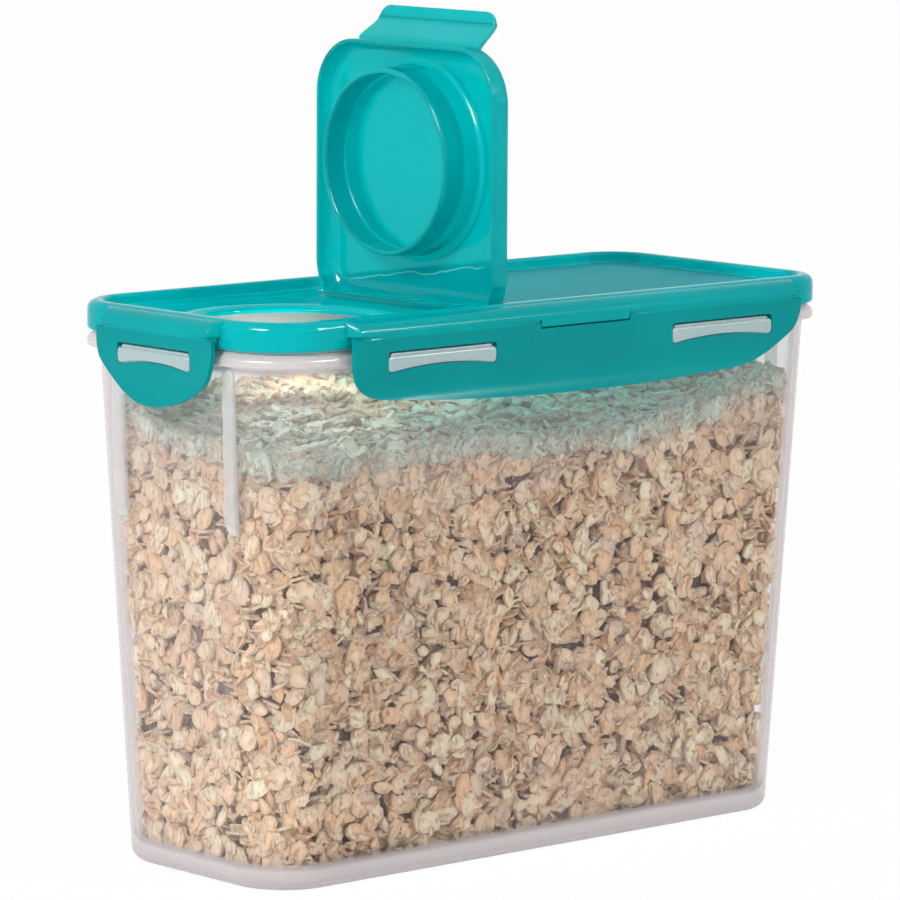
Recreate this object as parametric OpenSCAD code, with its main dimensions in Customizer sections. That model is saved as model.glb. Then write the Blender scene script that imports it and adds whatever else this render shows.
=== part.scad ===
// Cereal keeper with a flip spout: a tapered bin, a lid with four slotted
// locks on living hinges, and a pour cap that stands up from the lid.
// The long axis is X with the pour hole at -X, +Z is up and the origin is
// under the middle of the base. Left and right are as seen from the -X end.

/* [Bin] */
// Height from the table to the top of the lid rim
total_h = 190; // [150:1:260]
// Length of the base
base_l = 234.4; // [233:0.2:300]
// Width of the base
base_w = 89.9; // [89:0.1:140]
// Corner radius of the base seen from above
base_r = 22; // [18:0.5:26]
// Wall thickness
wall = 1.8; // [1.2:0.1:2.4]
// How far each side leans out from the base to the collar
draft_out = 7.3; // [6.6:0.1:9]
// Clear height under the base inside its foot ring
foot_h = 3.5; // [1:0.1:5]
// Distance from the base's outline to the inside of the foot ring
foot_w = 9; // [6:0.5:12]
// Thickness of the floor
floor_t = 2.5; // [1.5:0.1:4]
// Radius of the rounding along the bottom edge
base_edge = 4; // [2:0.1:5]

/* [Collar] */
// Height of the collar's top face below the rim top
collar_drop = 12.3; // [12:0.1:15]
// Thickness of the collar
collar_t = 3; // [2:0.1:5]
// How far the collar stands out of the bin wall
collar_out = 3.4; // [3:0.1:5]
// How far the neck stands up from the collar into the lid
neck_h = 4.7; // [3:0.1:5]
// Thickness of the neck
neck_t = 2; // [1.6:0.1:2.4]
// Rise of the collar's sloping shoulder up to the neck
shoulder_h = 2.4; // [1.6:0.1:2.4]

/* [Grip ribs] */
// Width of each upright rib on the end walls
rib_w = 8; // [5:0.5:10]
// Length of each rib
rib_h = 53; // [30:1:90]
// Distance between the two ribs of an end wall, centre to centre
rib_pitch = 58; // [40:1:64]
// How far a rib stands out of the wall at its lower end
rib_out = 1.4; // [0.8:0.1:2]

/* [Lid] */
// Corner radius of the rim at the pour end
rim_r_front = 23; // [16:0.5:25]
// Corner radius of the rim at the plain end
rim_r_rear = 18; // [14:0.5:25]
// Width of the raised rim, seen from above
rim_band = 5.6; // [5.4:0.1:6]
// Radius of the rim's rounded outer edge
rim_edge = 2; // [1:0.1:3]
// Thickness of the rim's top and of its outer skirt
skirt_t = 1.8; // [1.4:0.1:2]
// Height of the outer skirt
skirt_h = 9.8; // [9:0.1:10.2]
// Depth of the deck below the rim top
deck_drop = 4; // [3:0.1:4.4]
// Thickness of the deck
deck_t = 1.6; // [1.2:0.1:1.8]
// Play between the lid skirt and the neck
neck_gap = 0.6; // [0.3:0.1:0.8]
// Play between the gasket and the sides of its channel
gasket_gap = 0.15; // [0.05:0.05:0.3]

/* [Pour hole] */
// Step from the deck down to the recess that the cap closes into
recess_step = 1.2; // [0.8:0.1:1.4]
// Width of the ledge between the recess and the rim
ledge_w = 2; // [1:0.1:3]
// Diameter of the pour hole
hole_d = 65.4; // [50:0.2:66]
// Width of the rounded lip that leads down to the hole
lip_w = 3; // [2:0.1:4]
// Depth of the hole's edge below the recess
lip_drop = 1.7; // [0.5:0.1:2]
// Thickness of the hole's edge
lip_t = 1; // [0.8:0.1:1.4]

/* [Pour cap] */
// Place of the cap's hinge along the lid, from the middle
cap_hinge_x = -24.7; // [-27:0.1:-20]
// Length of the cap from its hinge
cap_l = 89.5; // [80:0.5:92]
// Width of the cap
cap_w = 91.2; // [86:0.2:92]
// Corner radius at the cap's free end
cap_r_free = 19; // [10:0.5:24]
// Corner radius at the cap's hinge end
cap_r_hinge = 20; // [18:0.5:24]
// Width of the cap at its hinge
cap_hinge_w = 81.8; // [76:0.2:84]
// Height of the cap's inside, from its edge to the underside of its plate
cap_depth = 6.4; // [5:0.1:8]
// Thickness of the cap
cap_t = 1.5; // [1:0.1:2]
// Gap under the closed cap's edge
cap_seat = 0.3; // [0.3:0.1:0.6]
// Angle at which the cap stands in this model
cap_angle = 90; // [0:1:90]

/* [Plug] */
// Play between the plug and the hole, where the plug leaves the cap
plug_gap = 0.3; // [0.2:0.05:0.6]
// Distance from the plug to the cap's free end
plug_margin = 7.5; // [6:0.5:12]
// How far the plug reaches down from the plate
plug_h = 15.4; // [12:0.1:17]
// How much the plug's radius shrinks to its open end
plug_taper = 0.6; // [0.4:0.05:1]
// Thickness of the plug wall
plug_t = 2; // [1.4:0.1:2.6]
// Depth of the round dish in the cap, over the plug
dish_drop = 6.5; // [3:0.1:6.5]

/* [Thumb tab] */
// Width of the tab where it leaves the cap
tab_root_w = 63; // [40:0.5:64]
// Width of the tab at its end
tab_w = 60; // [36:0.5:63]
// Corner radius at the tab's end
tab_r = 6; // [2:0.5:8]
// Length of the sloping part, along the cap
tab_slope_l = 5.5; // [4:0.1:8]
// Rise of the sloping part
tab_rise = 7.8; // [4:0.1:10]
// Length of the end part, along the cap
tab_end_l = 5.6; // [4:0.1:8]
// Rise of the end part
tab_end_rise = 1.3; // [0:0.1:3]

/* [Locks] */
// Height of the lock hinges below the rim top
lock_hinge_drop = 6.2; // [6:0.1:7]
// Thickness of a lock
lock_t = 1.8; // [1.4:0.1:2.4]
// Gap between the collar and the back of a closed lock
lock_gap = 2.6; // [1.6:0.1:3]
// Radius of the thin web that a lock hangs from
web_r = 0.25; // [0.15:0.05:0.3]
// Gap between a lock's top edge and its web
web_gap = 0.35; // [0.3:0.05:0.5]
// Half width of the end locks
end_lock_half = 30; // [26:0.1:31]
// Height of the end locks
end_lock_h = 24.7; // [22:0.1:30]
// Radius of the bow along the bottom of the end locks
end_lock_bow = 38; // [36:1:60]
// Corner radius of the end locks
end_lock_r = 15; // [10:0.5:18]
// Half length of the side locks
side_lock_half = 101.9; // [94:0.1:102.5]
// Middle of the side locks along the lid
side_lock_x = 5.4; // [0:0.1:8]
// Height of the side locks in their middle
side_lock_h = 24.3; // [22:0.1:30]
// Radius of the bow along the bottom of the side locks
side_lock_bow = 1100; // [800:10:2000]
// Corner radius of the side locks at the pour end
side_lock_r_front = 13; // [6:0.5:16]
// Radius of the long turn that leads to the corner at the plain end
side_lock_turn = 50; // [40:1:60]
// Distance from the middle of a side lock to the start of that turn
side_lock_turn_at = 70; // [60:1:74]
// Corner radius of the side locks at the plain end
side_lock_r_rear = 14; // [6:0.5:16]
// How much shorter a land is at the hinge line than at the rim, at each end
land_slant = 2.6; // [0:0.1:3]
// Length of the fixed tongue between the two webs of a side lock
tongue_l = 40; // [20:1:60]
// Depth of that tongue below the hinge line
tongue_drop = 1.9; // [1:0.1:2.6]
// How far a lock's finger lip flares out at its lower edge
flare_out = 1.4; // [0.5:0.1:2]
// How far a lock bends in below its slots
bend_in = 1; // [0:0.1:1.4]

/* [Slots and lugs] */
// Top of the slots below the rim top
slot_drop = 11.2; // [11:0.1:12]
// Height of the slots at their ends
slot_h = 7; // [6:0.1:7.5]
// How much the middle of a slot's lower edge arches up
slot_arch = 1.6; // [0:0.1:2]
// Half length of the slots in the end locks
end_slot_half = 19; // [14:0.1:20]
// Half length of the slots in the side locks
side_slot_half = 23.8; // [16:0.1:25]
// Distance of the side slots' middles from the lock's middle
side_slot_x = 63.9; // [50:0.1:65]
// Gap between a lug and its slot
lug_gap = 0.4; // [0.35:0.05:0.6]
// Extra gap above a lug, for the lock's swing
lug_top_gap = 0.2; // [0.2:0.05:0.6]
// How far the lugs stand out of the closed locks
lug_out = 0.3; // [0:0.1:0.5]

/* [Hidden] */
$fn = 72;
eps = 0.01;         // reach of a cut past the face that it leaves
hull_fn = 40;       // corner steps of the hulled bin
arc_n = 8;          // steps of a computed arc

collar_top = total_h - collar_drop;
collar_z = collar_top - collar_t;
neck_top = collar_top + neck_h;
neck_out = skirt_t + neck_gap;                 // neck's outer face in from the rim's
inner_floor = foot_h + floor_t;
rim_l = base_l + 2 * (draft_out + collar_out);
rim_w = base_w + 2 * (draft_out + collar_out);
deck_z = total_h - deck_drop;
recess_z = deck_z - recess_step;
channel_out = rim_band - deck_t;               // inner side of the gasket channel

cap_heel = 0.7;                                // cap's rear edge from its hinge line
cap_edge = 0.7;                                // cap's lower edge above its hinge line
cap_web_r = 0.4;
cap_plate = cap_edge + cap_depth;              // plate's underside above the hinge line
cap_hinge_z = recess_z + cap_seat - cap_edge;
plug_r = hole_d / 2 - plug_gap;
plug_x = cap_l - plug_margin - plug_r;         // plug's middle from the hinge line
hole_x = cap_hinge_x - plug_x;
recess_front = ledge_w + rim_band - rim_l / 2;
recess_rear = cap_hinge_x + cap_plate + cap_t + 2.4;
recess_w = rim_w - 2 * (rim_band + ledge_w);

lock_out = lock_gap + lock_t;                  // lock's outer face beyond the rim
lock_hinge_z = total_h - lock_hinge_drop;
lock_top = lock_hinge_z - web_r - web_gap;
land_z = lock_hinge_z + web_r + 0.15;          // underside of a lock's land
land_top = total_h - 0.6;

// Points of an arc about c, from angle a0 to a1
function arc(c, r, a0, a1) =
    [for (i = [0:arc_n]) let (a = a0 + (a1 - a0) * i / arc_n) c + r * [cos(a), sin(a)]];

// Points p in the other order, each mirrored left to right
function mirrored(p) = [for (i = [len(p) - 1:-1:0]) [-p[i][0], p[i][1]]];

// Rounded rectangle about the middle, rf at its -X corners and rr at the others
module plan(l, w, rf, rr) {
    translate([rf - l / 2, -w / 2]) square([l - rf - rr, w]);
    translate([-l / 2, rf - w / 2]) square([rf + eps, w - 2 * rf]);
    translate([l / 2 - rr - eps, rr - w / 2]) square([rr + eps, w - 2 * rr]);
    for (s = [-1, 1]) {
        translate([rf - l / 2, s * (w / 2 - rf)]) circle(rf);
        translate([l / 2 - rr, s * (w / 2 - rr)]) circle(rr);
    }
}

// The rim's outline, moved in by d
module rim_plan(d) {
    plan(rim_l - 2 * d, rim_w - 2 * d, rim_r_front - d, rim_r_rear - d);
}

// Sweeps a section round the rim: its x is the distance out of the rim, its y the height
module round_rim() {
    rf = rim_r_front;
    rr = rim_r_rear;
    for (s = [0, 1]) mirror([0, s, 0]) {
        translate([rf - rim_l / 2, rim_w / 2, 0])
            rotate([90, 0, 90]) linear_extrude(rim_l - rf - rr) children();
        translate([rim_l / 2 - rr, rim_w / 2 - rr, 0])
            rotate_extrude(angle = 90) translate([rr, 0]) children();
        translate([rf - rim_l / 2, rim_w / 2 - rf, 0])
            rotate(90) rotate_extrude(angle = 90) translate([rf, 0]) children();
    }
    translate([rim_l / 2, rim_w / 2 - rr, 0])
        rotate([90, 0, 0]) linear_extrude(rim_w - 2 * rr) children();
    translate([-rim_l / 2, rf - rim_w / 2, 0])
        rotate([90, 0, 180]) linear_extrude(rim_w - 2 * rf) children();
}

// Places children on a wall: 0 front, 1 rear, 2 right, 3 left; their +X points out of it
module on_wall(i) {
    if (i == 0) translate([-rim_l / 2, 0, 0]) rotate(180) children();
    if (i == 1) translate([rim_l / 2, 0, 0]) children();
    if (i == 2) translate([side_lock_x, -rim_w / 2, 0]) rotate(-90) children();
    if (i == 3) mirror([0, 1, 0]) on_wall(2) children();
}

// Thin slice of the bin's outline at height z, moved in by d
module bin_slice(z, d) {
    grow = draft_out * min(z / collar_z, 1) - d;
    translate([0, 0, z])
        linear_extrude(eps)
            plan(base_l + 2 * grow, base_w + 2 * grow, base_r - d, base_r - d, $fn = hull_fn);
}

// Form between the rounded bottom at z0 and the collar, moved in by d
module bin_form(z0, d, r, z1) {
    hull() {
        for (a = [0, 30, 60, 90]) bin_slice(z0 + r * (1 - cos(a)), d + r * (1 - sin(a)));
        bin_slice(z1, d);
    }
}

// One upright rib on an end wall, its outer face nearly upright
module grip_rib() {
    low = collar_z - rib_h;
    face = base_l / 2 + draft_out * low / collar_z + rib_out;
    top = base_l / 2 + draft_out + 0.6;
    rotate([90, 0, 0])
        linear_extrude(rib_w, center = true)
            polygon([[face - rib_out - 1, low - 3], [face - rib_out, low - 3], [face, low],
                [top, collar_z + eps], [top - 2, collar_z + eps]]);
}

module container() {
    color("gainsboro") {
        difference() {
            union() {
                bin_form(0, 0, base_edge, collar_z + eps);
                translate([0, 0, collar_z]) linear_extrude(collar_t) rim_plan(1);
                round_rim() polygon(concat([[-2, collar_z]],
                    arc([-1, collar_z + 1], 1, 270, 360),
                    [[0, collar_top - 0.3], [0.3 - neck_out, collar_top + shoulder_h - 0.3],
                    [-neck_out - 1, collar_top + shoulder_h - 0.3], [-neck_out - 1, collar_z]]));
                for (sx = [0, 1], sy = [-1, 1])
                    mirror([sx, 0, 0]) translate([0, sy * rib_pitch / 2, 0]) grip_rib();
            }
            bin_form(inner_floor, wall, base_edge - wall, collar_top + eps);
            translate([0, 0, -eps])
                linear_extrude(foot_h + eps)
                    plan(base_l - 2 * foot_w, base_w - 2 * foot_w, base_r - foot_w, base_r - foot_w);
        }
        translate([0, 0, collar_top])
            linear_extrude(neck_h)
                difference() {
                    rim_plan(neck_out);
                    rim_plan(neck_out + neck_t);
                }
    }
}

// Outline of a slot moved in by d, its top lowered by more; y is the height under the rim top
function slot_points(half, d, more) = let (top = -slot_drop - d - more,
        low = -slot_drop - slot_h + d, e = half - d)
    concat(arc([e - 1, top - 1], 1, 0, 90), arc([1 - e, top - 1], 1, 90, 180),
        arc([1.5 - e, low + 1.5], 1.5, 180, 270),
        [for (i = [1:2 * arc_n - 1]) let (t = i / arc_n - 1)
            [t * (e - 1.5), low + slot_arch * (1 - t * t)]],
        arc([e - 1.5, low + 1.5], 1.5, 270, 360));

// Prism of a slot's outline, t thick along +X
module slot_prism(half, d, more, t) {
    translate([0, 0, total_h])
        rotate([90, 0, 90]) linear_extrude(t) polygon(slot_points(half, d, more));
}

// One lug, standing out of the collar
module lug(half) {
    slot_prism(half, lug_gap, lug_top_gap, lock_out + lug_out);
}

module lock_lugs() {
    color("whitesmoke") {
        for (i = [0, 1]) on_wall(i) lug(end_slot_half);
        for (i = [2, 3], s = [-1, 1])
            on_wall(i) translate([0, s * side_slot_x, 0]) lug(side_slot_half);
    }
}

// Ring in the lid's channel, resting on the neck
module gasket() {
    color("white")
        round_rim()
            translate([gasket_gap - channel_out, neck_top])
                square([channel_out - skirt_t - 2 * gasket_gap, total_h - skirt_t - neck_top]);
}

// Section of the lid's rim, with the skirt outside and the deck's wall inside
module rim_section() {
    polygon(concat([[-skirt_t, total_h - skirt_h]], arc([-1, total_h - skirt_h + 1], 1, 270, 360),
        arc([-rim_edge, total_h - rim_edge], rim_edge, 0, 90),
        arc([0.8 - rim_band, total_h - 0.8], 0.8, 90, 180),
        [[-rim_band, deck_z - deck_t], [-channel_out, deck_z - deck_t],
        [-channel_out, total_h - skirt_t], [-skirt_t, total_h - skirt_t]]));
}

// Swelling of the rim that a lock's web hangs from, half its length each way
module land(half) {
    l = half - land_slant;
    intersection() {
        translate([0, half, 0])
            rotate([90, 0, 0])
                linear_extrude(2 * half)
                    polygon(concat([[-skirt_t, land_z], [lock_out, land_z]],
                        [for (a = [0:10:90]) [-1 + (lock_out + 1) * cos(a),
                            land_z + 0.4 + (land_top - land_z - 0.4) * sin(a)]],
                        [[-skirt_t, land_top]]));
        translate([0, 0, land_z])
            linear_extrude(skirt_h)
                polygon([[-skirt_t, -half], [0, -half], [lock_out, -l], [lock_out, l],
                    [0, half], [-skirt_t, half]]);
    }
}

// The recess in front of the deck, seen from above and moved in by d
module recess_plan(d) {
    translate([(recess_rear + recess_front) / 2, 0])
        plan(recess_rear - recess_front - 2 * d, recess_w - 2 * d,
            rim_r_front - rim_band - ledge_w - d, 6 - d);
}

// Rounded lip round the pour hole
module hole_lip() {
    r = hole_d / 2;
    translate([hole_x, 0, 0])
        rotate_extrude()
            polygon([[r, recess_z - lip_drop], [r, recess_z - lip_drop - lip_t],
                [r + 0.5, recess_z - lip_drop - lip_t], [r + lip_w + 1, recess_z - deck_t],
                [r + lip_w + 1, recess_z], [r + lip_w, recess_z],
                [r + lip_w * 0.6, recess_z - lip_drop * 0.15],
                [r + lip_w * 0.25, recess_z - lip_drop * 0.5]]);
}

module lid() {
    color("darkturquoise") {
        difference() {
            union() {
                round_rim() rim_section();
                translate([0, 0, deck_z - deck_t]) linear_extrude(deck_t) rim_plan(rim_band - eps);
                translate([0, 0, recess_z - deck_t]) linear_extrude(deck_t) recess_plan(-deck_t);
                for (i = [0, 1]) on_wall(i) land(end_lock_half);
                for (i = [2, 3]) on_wall(i) land(side_lock_half);
            }
            translate([0, 0, recess_z]) linear_extrude(recess_step + eps) recess_plan(0);
            translate([hole_x, 0, 0]) cylinder(h = total_h, r = hole_d / 2 + lip_w + eps);
            translate([cap_hinge_x, 0, cap_hinge_z])
                rotate([90, 0, 0]) cylinder(h = cap_hinge_w, r = cap_web_r, center = true);
        }
        hole_lip();
        for (i = [2, 3])
            on_wall(i)
                translate([-skirt_t, -tongue_l / 2, lock_hinge_z - tongue_drop])
                    cube([skirt_t + lock_out, tongue_l, tongue_drop + web_r + 0.15 + eps]);
    }
}

// Thin web under a land, from y0 to y1
module web(y0, y1) {
    translate([lock_out - web_r, y0, lock_hinge_z]) {
        rotate([-90, 0, 0]) cylinder(h = y1 - y0, r = web_r, $fn = 24);
        translate([-web_r, 0, 0]) cube([2 * web_r, y1 - y0, land_z - lock_hinge_z]);
    }
}

module end_web(i) {
    half = end_lock_half - land_slant - 1;
    color("teal") on_wall(i) web(-half, half);
}

module side_webs(i) {
    half = side_lock_half - land_slant - 1;
    color("teal") on_wall(i) {
        web(-half, -tongue_l / 2 - 1);
        web(tongue_l / 2 + 1, half);
    }
}

// Section of a lock h high: x is the distance out of the rim, y the height under its top
function lock_section(h) = let (top = lock_top - total_h, low = -lock_hinge_drop - h,
        slot_low = -slot_drop - slot_h, out = lock_out, in = lock_gap)
    [[in, top], [out, top], [out, slot_low + 1], [out - 0.8 * bend_in, slot_low - 2],
    [out - bend_in, low + 7], [out - 0.3 * bend_in, low + 4], [out + flare_out, low],
    [in + flare_out, low], [in - 0.3 * bend_in, low + 4], [in - bend_in, low + 7],
    [in - 0.8 * bend_in, slot_low - 2], [in, slot_low + 1]];

// Solid of a lock from its outline p, half long and h high, with slots at places s
module lock(p, half, h, slot_half, s) {
    difference() {
        intersection() {
            translate([0, half, total_h])
                rotate([90, 0, 0]) linear_extrude(2 * half) polygon(lock_section(h));
            translate([-lock_out, 0, total_h])
                rotate([90, 0, 90]) linear_extrude(3 * lock_out) polygon(p);
        }
        for (y = s) translate([-lock_out, y, 0]) slot_prism(slot_half, 0, 0, 3 * lock_out);
    }
}

// Right half of a lock's outline: a bow of radius b, from t a turn of radius m, a corner of radius r
function lock_half(half, h, b, t, m, r) = let (low = -lock_hinge_drop - h, a0 = asin(t / b),
        my = (b - m) * sin(a0), mz = low + b - (b - m) * cos(a0), y = half - r,
        z = mz - sqrt(pow(m - r, 2) - pow(y - my, 2)), a = atan2(z - mz, y - my))
    concat(arc([0, low + b], b, 270, 270 + a0), arc([my, mz], m, 270 + a0, 360 + a),
        arc([y, z], r, 360 + a, 360), [[half, -lock_hinge_drop + 1]]);

module end_lock(i) {
    b = end_lock_bow;
    p = lock_half(end_lock_half, end_lock_h, b, end_lock_half / 4, b, end_lock_r);
    color("mediumturquoise")
        on_wall(i) lock(concat(p, mirrored(p)), end_lock_half, end_lock_h, end_slot_half, [0]);
}

module side_lock(i) {
    b = side_lock_bow;
    t = side_lock_turn_at;
    rear = lock_half(side_lock_half, side_lock_h, b, t, side_lock_turn, side_lock_r_rear);
    front = lock_half(side_lock_half, side_lock_h, b, t, b, side_lock_r_front);
    color("mediumturquoise") on_wall(i) difference() {
        lock(concat(rear, mirrored(front)), side_lock_half, side_lock_h, side_slot_half,
            [-side_slot_x, side_slot_x]);
        translate([-lock_out, -tongue_l / 2 - lug_gap, lock_hinge_z - tongue_drop - lug_gap])
            cube([3 * lock_out, tongue_l + 2 * lug_gap, 2 * tongue_drop]);
    }
}

// Half of the cap's outline along -X from the hinge line, moved in by d
function cap_half(d) = let (rh = cap_r_hinge - d, rf = cap_r_free - d,
        dy = cap_hinge_w / 2 - cap_w / 2 + cap_r_hinge,
        c = cap_heel + sqrt(pow(cap_r_hinge, 2) - pow(dy, 2)))
    concat(arc([-c, cap_w / 2 - cap_r_hinge], rh, acos((c - cap_heel - d) / rh), 90),
        arc([cap_r_free - cap_l, cap_w / 2 - cap_r_free], rf, 90, 180));

module cap_plan(d) {
    p = cap_half(d);
    polygon(concat(p, [for (i = [len(p) - 1:-1:0]) [p[i][0], -p[i][1]]]));
}

// Turns a closed cap about its hinge line to the angle of this model
module stand_up() {
    translate([cap_hinge_x, 0, cap_hinge_z]) rotate([0, cap_angle, 0]) children();
}

module cap_hinge() {
    color("teal")
        translate([cap_hinge_x, 0, cap_hinge_z])
            rotate([90, 0, 0]) cylinder(h = cap_hinge_w, r = cap_web_r, center = true);
}

module pour_cap() {
    color("darkturquoise") stand_up() {
        translate([0, 0, cap_edge])
            linear_extrude(cap_depth)
                difference() {
                    cap_plan(0);
                    cap_plan(cap_t);
                }
        translate([0, 0, cap_plate])
            linear_extrude(cap_t)
                difference() {
                    cap_plan(0);
                    translate([-plug_x, 0]) circle(plug_r - plug_t);
                }
    }
}

module pour_plug() {
    open_r = plug_r - plug_taper;
    dish_r = plug_r - plug_t;
    color("lightseagreen") stand_up()
        translate([-plug_x, 0, cap_plate])
            rotate_extrude()
                polygon([[0, -dish_drop], [dish_r, -dish_drop], [open_r - plug_t, -plug_h],
                    [open_r, -plug_h], [plug_r, 0], [dish_r, 0],
                    [dish_r, cap_t - dish_drop], [0, cap_t - dish_drop]]);
}

// Tab seen from above, from the cap's free end outwards
module tab_plan() {
    l = tab_slope_l + tab_end_l;
    p = concat([[4, tab_root_w / 2], [-0.5, tab_root_w / 2], [-tab_slope_l, tab_w / 2]],
        arc([tab_r - l, tab_w / 2 - tab_r], tab_r, 90, 180));
    polygon(concat(p, [for (i = [len(p) - 1:-1:0]) [p[i][0], -p[i][1]]]));
}

module thumb_tab() {
    l = tab_slope_l + tab_end_l;
    top = tab_rise + tab_end_rise;
    color("lightseagreen") stand_up() difference() {
        translate([-cap_l, 0, 0]) intersection() {
            linear_extrude(2 * (cap_plate + top)) tab_plan();
            translate([0, tab_root_w / 2, cap_plate])
                rotate([90, 0, 0])
                    linear_extrude(tab_root_w)
                        polygon([[4, 0], [0, 0], [-tab_slope_l, tab_rise], [-l, top],
                            [-l, top + cap_t], [-tab_slope_l + 0.6, tab_rise + cap_t],
                            [-1, cap_t], [4, cap_t]]);
        }
        linear_extrude(2 * cap_plate) cap_plan(0);
    }
}

container();
lock_lugs();
gasket();
lid();
end_web(0);  // front_hinge
end_web(1);  // rear_hinge
side_webs(2);  // right_hinge
side_webs(3);  // left_hinge
end_lock(0);  // front_lock
end_lock(1);  // rear_lock
side_lock(2);  // right_lock
side_lock(3);  // left_lock
cap_hinge();
pour_cap();
pour_plug();
thumb_tab();
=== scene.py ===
"""Looks of the cereal keeper with a flip spout: a frosted bin, a teal lid with
four snap locks, and a pour cap that stands open over the pour hole."""

import math
import random

import bmesh
import bpy
import numpy as np
from mathutils import Matrix, Vector


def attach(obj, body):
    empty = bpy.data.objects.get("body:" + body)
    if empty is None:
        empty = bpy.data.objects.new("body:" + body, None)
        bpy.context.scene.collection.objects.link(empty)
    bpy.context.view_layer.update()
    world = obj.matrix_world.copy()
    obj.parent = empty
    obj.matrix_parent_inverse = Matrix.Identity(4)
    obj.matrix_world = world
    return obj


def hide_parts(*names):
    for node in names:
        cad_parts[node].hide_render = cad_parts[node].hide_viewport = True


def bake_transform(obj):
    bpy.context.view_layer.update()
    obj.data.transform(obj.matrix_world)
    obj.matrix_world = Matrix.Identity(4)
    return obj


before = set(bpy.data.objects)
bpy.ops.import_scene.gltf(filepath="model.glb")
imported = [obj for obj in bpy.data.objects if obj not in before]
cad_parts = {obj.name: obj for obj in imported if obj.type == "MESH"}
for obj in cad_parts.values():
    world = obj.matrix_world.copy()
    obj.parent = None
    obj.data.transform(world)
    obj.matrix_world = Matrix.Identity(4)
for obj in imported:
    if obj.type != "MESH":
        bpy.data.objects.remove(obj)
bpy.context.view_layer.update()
MM = 0.001

# ---------------------------------------------------------------- sizes, in mm
BASE_L, BASE_W, BASE_R = 234.4, 89.9, 22.0
BASE_R_REAR, REAR_R_TAPER = 17.0, 0.01
DRAFT = 7.3
COLLAR_OUT = 3.4
RIM_L = BASE_L + 2 * (DRAFT + COLLAR_OUT)
RIM_W = BASE_W + 2 * (DRAFT + COLLAR_OUT)
RIM_R_FRONT, RIM_R_REAR = 23.0, 18.0
RIM_TOP = 190.0
RIM_BAND = 5.6
COLLAR_LOW, COLLAR_TOP, NECK_TOP = 174.7, 177.7, 182.4
DECK_TOP, DECK_T = 186.0, 1.6
RECESS_TOP, RECESS_REAR = 184.8, -13.7
WALL = 1.8
SKIRT_T = 1.8
CORNER_STEPS = 14

HINGE_X, HINGE_Z = -24.7, 184.4
CAP_L, CAP_W = 89.5, 91.2
CAP_R_FREE, CAP_R_HINGE = 19.0, 20.0
CAP_HEEL, CAP_EDGE, CAP_PLATE, CAP_T = 0.7, 0.7, 7.1, 1.5
CAP_HINGE_W = 81.8
PLUG_UP = 49.6
PLUG_R, PLUG_T, PLUG_H = 32.4, 2.0, 15.4
HOLE_X, HOLE_R = HINGE_X - PLUG_UP, 32.7

SKIRT_LOW = 180.2
LOCK_GAP, LOCK_T = 2.6, 1.8
LOCK_OUT = LOCK_GAP + LOCK_T
LOCK_TOP = 183.2
LAND_LOW, LAND_TOP, LAND_SLANT = 184.2, 189.4, 2.6
LOCK_MIDDLE = 5.4
END_HALF, SIDE_HALF = 30.0, 101.9
END_LOW, SIDE_LOW = 159.1, 159.5
TONGUE_HALF, TONGUE_LOW = 20.0, 181.9
WEB_SHALLOW, WEB_DEEP, WEB_RUN = 0.03, 0.55, 13.0
SLOT_TOP, SLOT_LOW, SLOT_ARCH = 178.8, 171.8, 1.6
END_SLOT_HALF, SIDE_SLOT_HALF, SIDE_SLOT_AT = 19.0, 23.8, 63.9
LUG_GAP = 0.4
RIB_AT, RIB_DOWN = 29.0, 53.0


# ----------------------------------------------------------- modelling helpers
def clear_selection():
    """Nothing stays selected, so the next primitive stands alone."""
    if bpy.context.object and bpy.context.object.mode != "OBJECT":
        bpy.ops.object.mode_set(mode="OBJECT")
    bpy.ops.object.select_all(action="DESELECT")


def only(obj):
    clear_selection()
    bpy.context.view_layer.objects.active = obj
    obj.select_set(True)


def edit(obj):
    only(obj)
    bpy.ops.object.mode_set(mode="EDIT")


def pick(rule, kind="FACE"):
    """Selects the faces, edges or vertices of the edited mesh that the rule accepts."""
    bpy.ops.mesh.select_mode(type=kind)
    bpy.ops.mesh.select_all(action="DESELECT")
    mesh = bpy.context.object.data
    bm = bmesh.from_edit_mesh(mesh)
    found = 0
    for item in {"FACE": bm.faces, "EDGE": bm.edges, "VERT": bm.verts}[kind]:
        if rule(item):
            item.select_set(True)
            found += 1
    bm.select_flush_mode()
    bmesh.update_edit_mesh(mesh)
    return found


def apply_modifier(obj, kind, **settings):
    only(obj)
    modifier = obj.modifiers.new(kind.title(), kind)
    for name, value in settings.items():
        setattr(modifier, name, value)
    bpy.ops.object.modifier_apply(modifier=modifier.name)


def outward(obj):
    """Merges doubles and turns every face outwards."""
    edit(obj)
    bpy.ops.mesh.select_all(action="SELECT")
    bpy.ops.mesh.remove_doubles(threshold=0.000002)
    bpy.ops.mesh.normals_make_consistent(inside=False)
    bpy.ops.object.mode_set(mode="OBJECT")


def settle(obj, angle=40):
    """Bakes the object's place into its mesh, smooths all but the sharp edges and keeps flat faces flat."""
    only(obj)
    bpy.ops.object.transform_apply(location=True, rotation=True, scale=True)
    bpy.ops.object.shade_smooth_by_angle(angle=math.radians(angle))
    apply_modifier(obj, "WEIGHTED_NORMAL", keep_sharp=True, weight=60)
    return obj


def soften(obj, width, segments=2, angle=50):
    """Rounds the sharp edges of a moulding."""
    apply_modifier(obj, "BEVEL", width=width * MM, segments=segments, limit_method="ANGLE",
                   angle_limit=math.radians(angle), miter_outer="MITER_ARC", harden_normals=False)


def twin_of(obj, name):
    """A copy of a finished piece with its own mesh."""
    only(obj)
    bpy.ops.object.duplicate()
    twin = bpy.context.object
    twin.name = name
    twin.data.name = name
    return twin


def boolean(obj, tool, operation="DIFFERENCE"):
    apply_modifier(obj, "BOOLEAN", operation=operation, solver="EXACT", object=tool)
    bpy.data.objects.remove(tool)


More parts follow.
